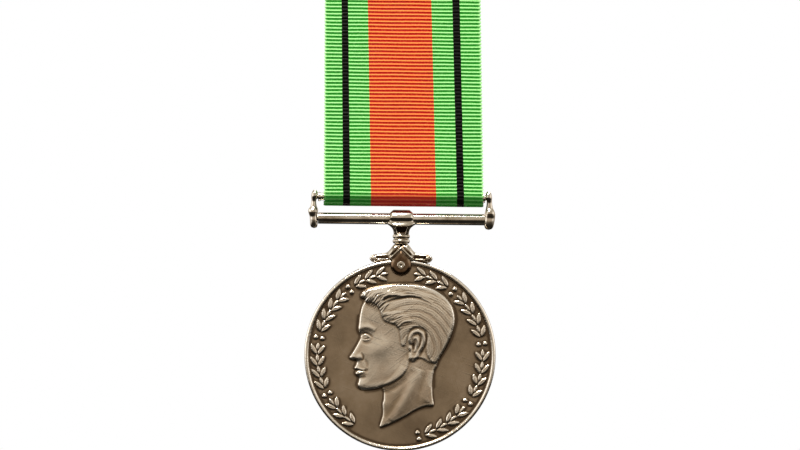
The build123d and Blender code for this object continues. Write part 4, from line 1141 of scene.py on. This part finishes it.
world = bpy.data.worlds.new("soft studio")
scene.world = world
world.use_nodes = True
tree = world.node_tree
tree.nodes.clear()
direction = add(tree, "ShaderNodeTexCoord").outputs["Generated"]
upward = add(tree, "ShaderNodeSeparateXYZ", links={0: direction}).outputs[2]
rise = add(tree, "ShaderNodeMapRange", {"From Min": -1.0, "From Max": 1.0}, {"Value": upward})
sky_levels = [(0.0, (0.06, 0.055, 0.05)), (0.05, (0.02, 0.018, 0.015)), (0.30, (0.02, 0.017, 0.013)),
              (0.37, (0.055, 0.045, 0.034)), (0.43, (0.22, 0.18, 0.138)),
              (0.5, (0.5, 0.415, 0.328)), (0.6, (0.62, 0.53, 0.43)), (0.8, (0.56, 0.505, 0.42)),
              (0.92, (0.52, 0.485, 0.42)), (0.96, (0.95, 0.92, 0.86)), (1.0, (2.3, 2.28, 2.2))]
sky = add(tree, "ShaderNodeValToRGB", links={"Fac": rise.outputs[0]}, stops=sky_levels)
# a bright panel to each side, from the horizon up, so that upright edges catch light
sideways = add(tree, "ShaderNodeSeparateXYZ", links={0: direction}).outputs[0]
left_panel = add(tree, "ShaderNodeMapRange",
                 {"From Min": -0.62, "From Max": -0.85, "To Min": 0.0, "To Max": 1.1}, {"Value": sideways})
right_panel = add(tree, "ShaderNodeMapRange",
                  {"From Min": 0.7, "From Max": 0.9, "To Min": 0.0, "To Max": 0.75}, {"Value": sideways})
panels = add(tree, "ShaderNodeMath", links={0: left_panel.outputs[0], 1: right_panel.outputs[0]},
             operation="ADD")
above = add(tree, "ShaderNodeMapRange", {"From Min": -0.25, "From Max": 0.05}, {"Value": upward})
panel_light = add(tree, "ShaderNodeMath", links={0: panels.outputs[0], 1: above.outputs[0]},
                  operation="MULTIPLY")
lit = add(tree, "ShaderNodeVectorMath", links={0: sky.outputs[0], 1: panel_light.outputs[0]}, operation="ADD")
surround = add(tree, "ShaderNodeBackground", {"Strength": 1.0}, {"Color": lit.outputs[0]})
backdrop = add(tree, "ShaderNodeBackground", {"Color": (1, 1, 1, 1), "Strength": 1.0})
seen = add(tree, "ShaderNodeLightPath").outputs["Is Camera Ray"]
both = add(tree, "ShaderNodeMixShader", links={0: seen, 1: surround.outputs[0], 2: backdrop.outputs[0]})
add(tree, "ShaderNodeOutputWorld", links={"Surface": both.outputs[0]})

target = np.array([0.0, plane_y, disc_z + 24.5 * MM])


def soft_light(name, place, size, power, colour="#ffffff"):
    """A square soft box at a place, aimed at the middle of the medal."""
    light = bpy.data.lights.new(name, "AREA")
    light.shape, light.size = "SQUARE", size
    light.energy, light.color = power, linear(colour)[:3]
    lamp = bpy.data.objects.new(name, light)
    lamp.location = place
    aim = np.array(target) - np.array(place)
    lamp.rotation_euler = (math.acos(-aim[2] / np.linalg.norm(aim)), 0, math.atan2(aim[1], aim[0])
                           - math.pi / 2)
    scene.collection.objects.link(lamp)
    return lamp


soft_light("key", (-0.12, -0.2, 0.4), 0.2, 3.6, "#fff8ee")
soft_light("back", (0.12, 0.2, 0.4), 0.2, 3.4, "#fff8ee")

view_width = 150.7 * MM
lens, sensor = 200.0, 36.0
camera_data = bpy.data.cameras.new("camera")
camera_data.lens, camera_data.sensor_width = lens, sensor
camera = bpy.data.objects.new("camera", camera_data)
distance = view_width * lens / sensor
camera.location = (target[0] - 0.26 * MM, target[1] - distance, target[2])
camera.rotation_euler = (math.pi / 2, math.radians(-0.6), 0)  # the medal hangs a little out of true
scene.collection.objects.link(camera)
scene.camera = camera
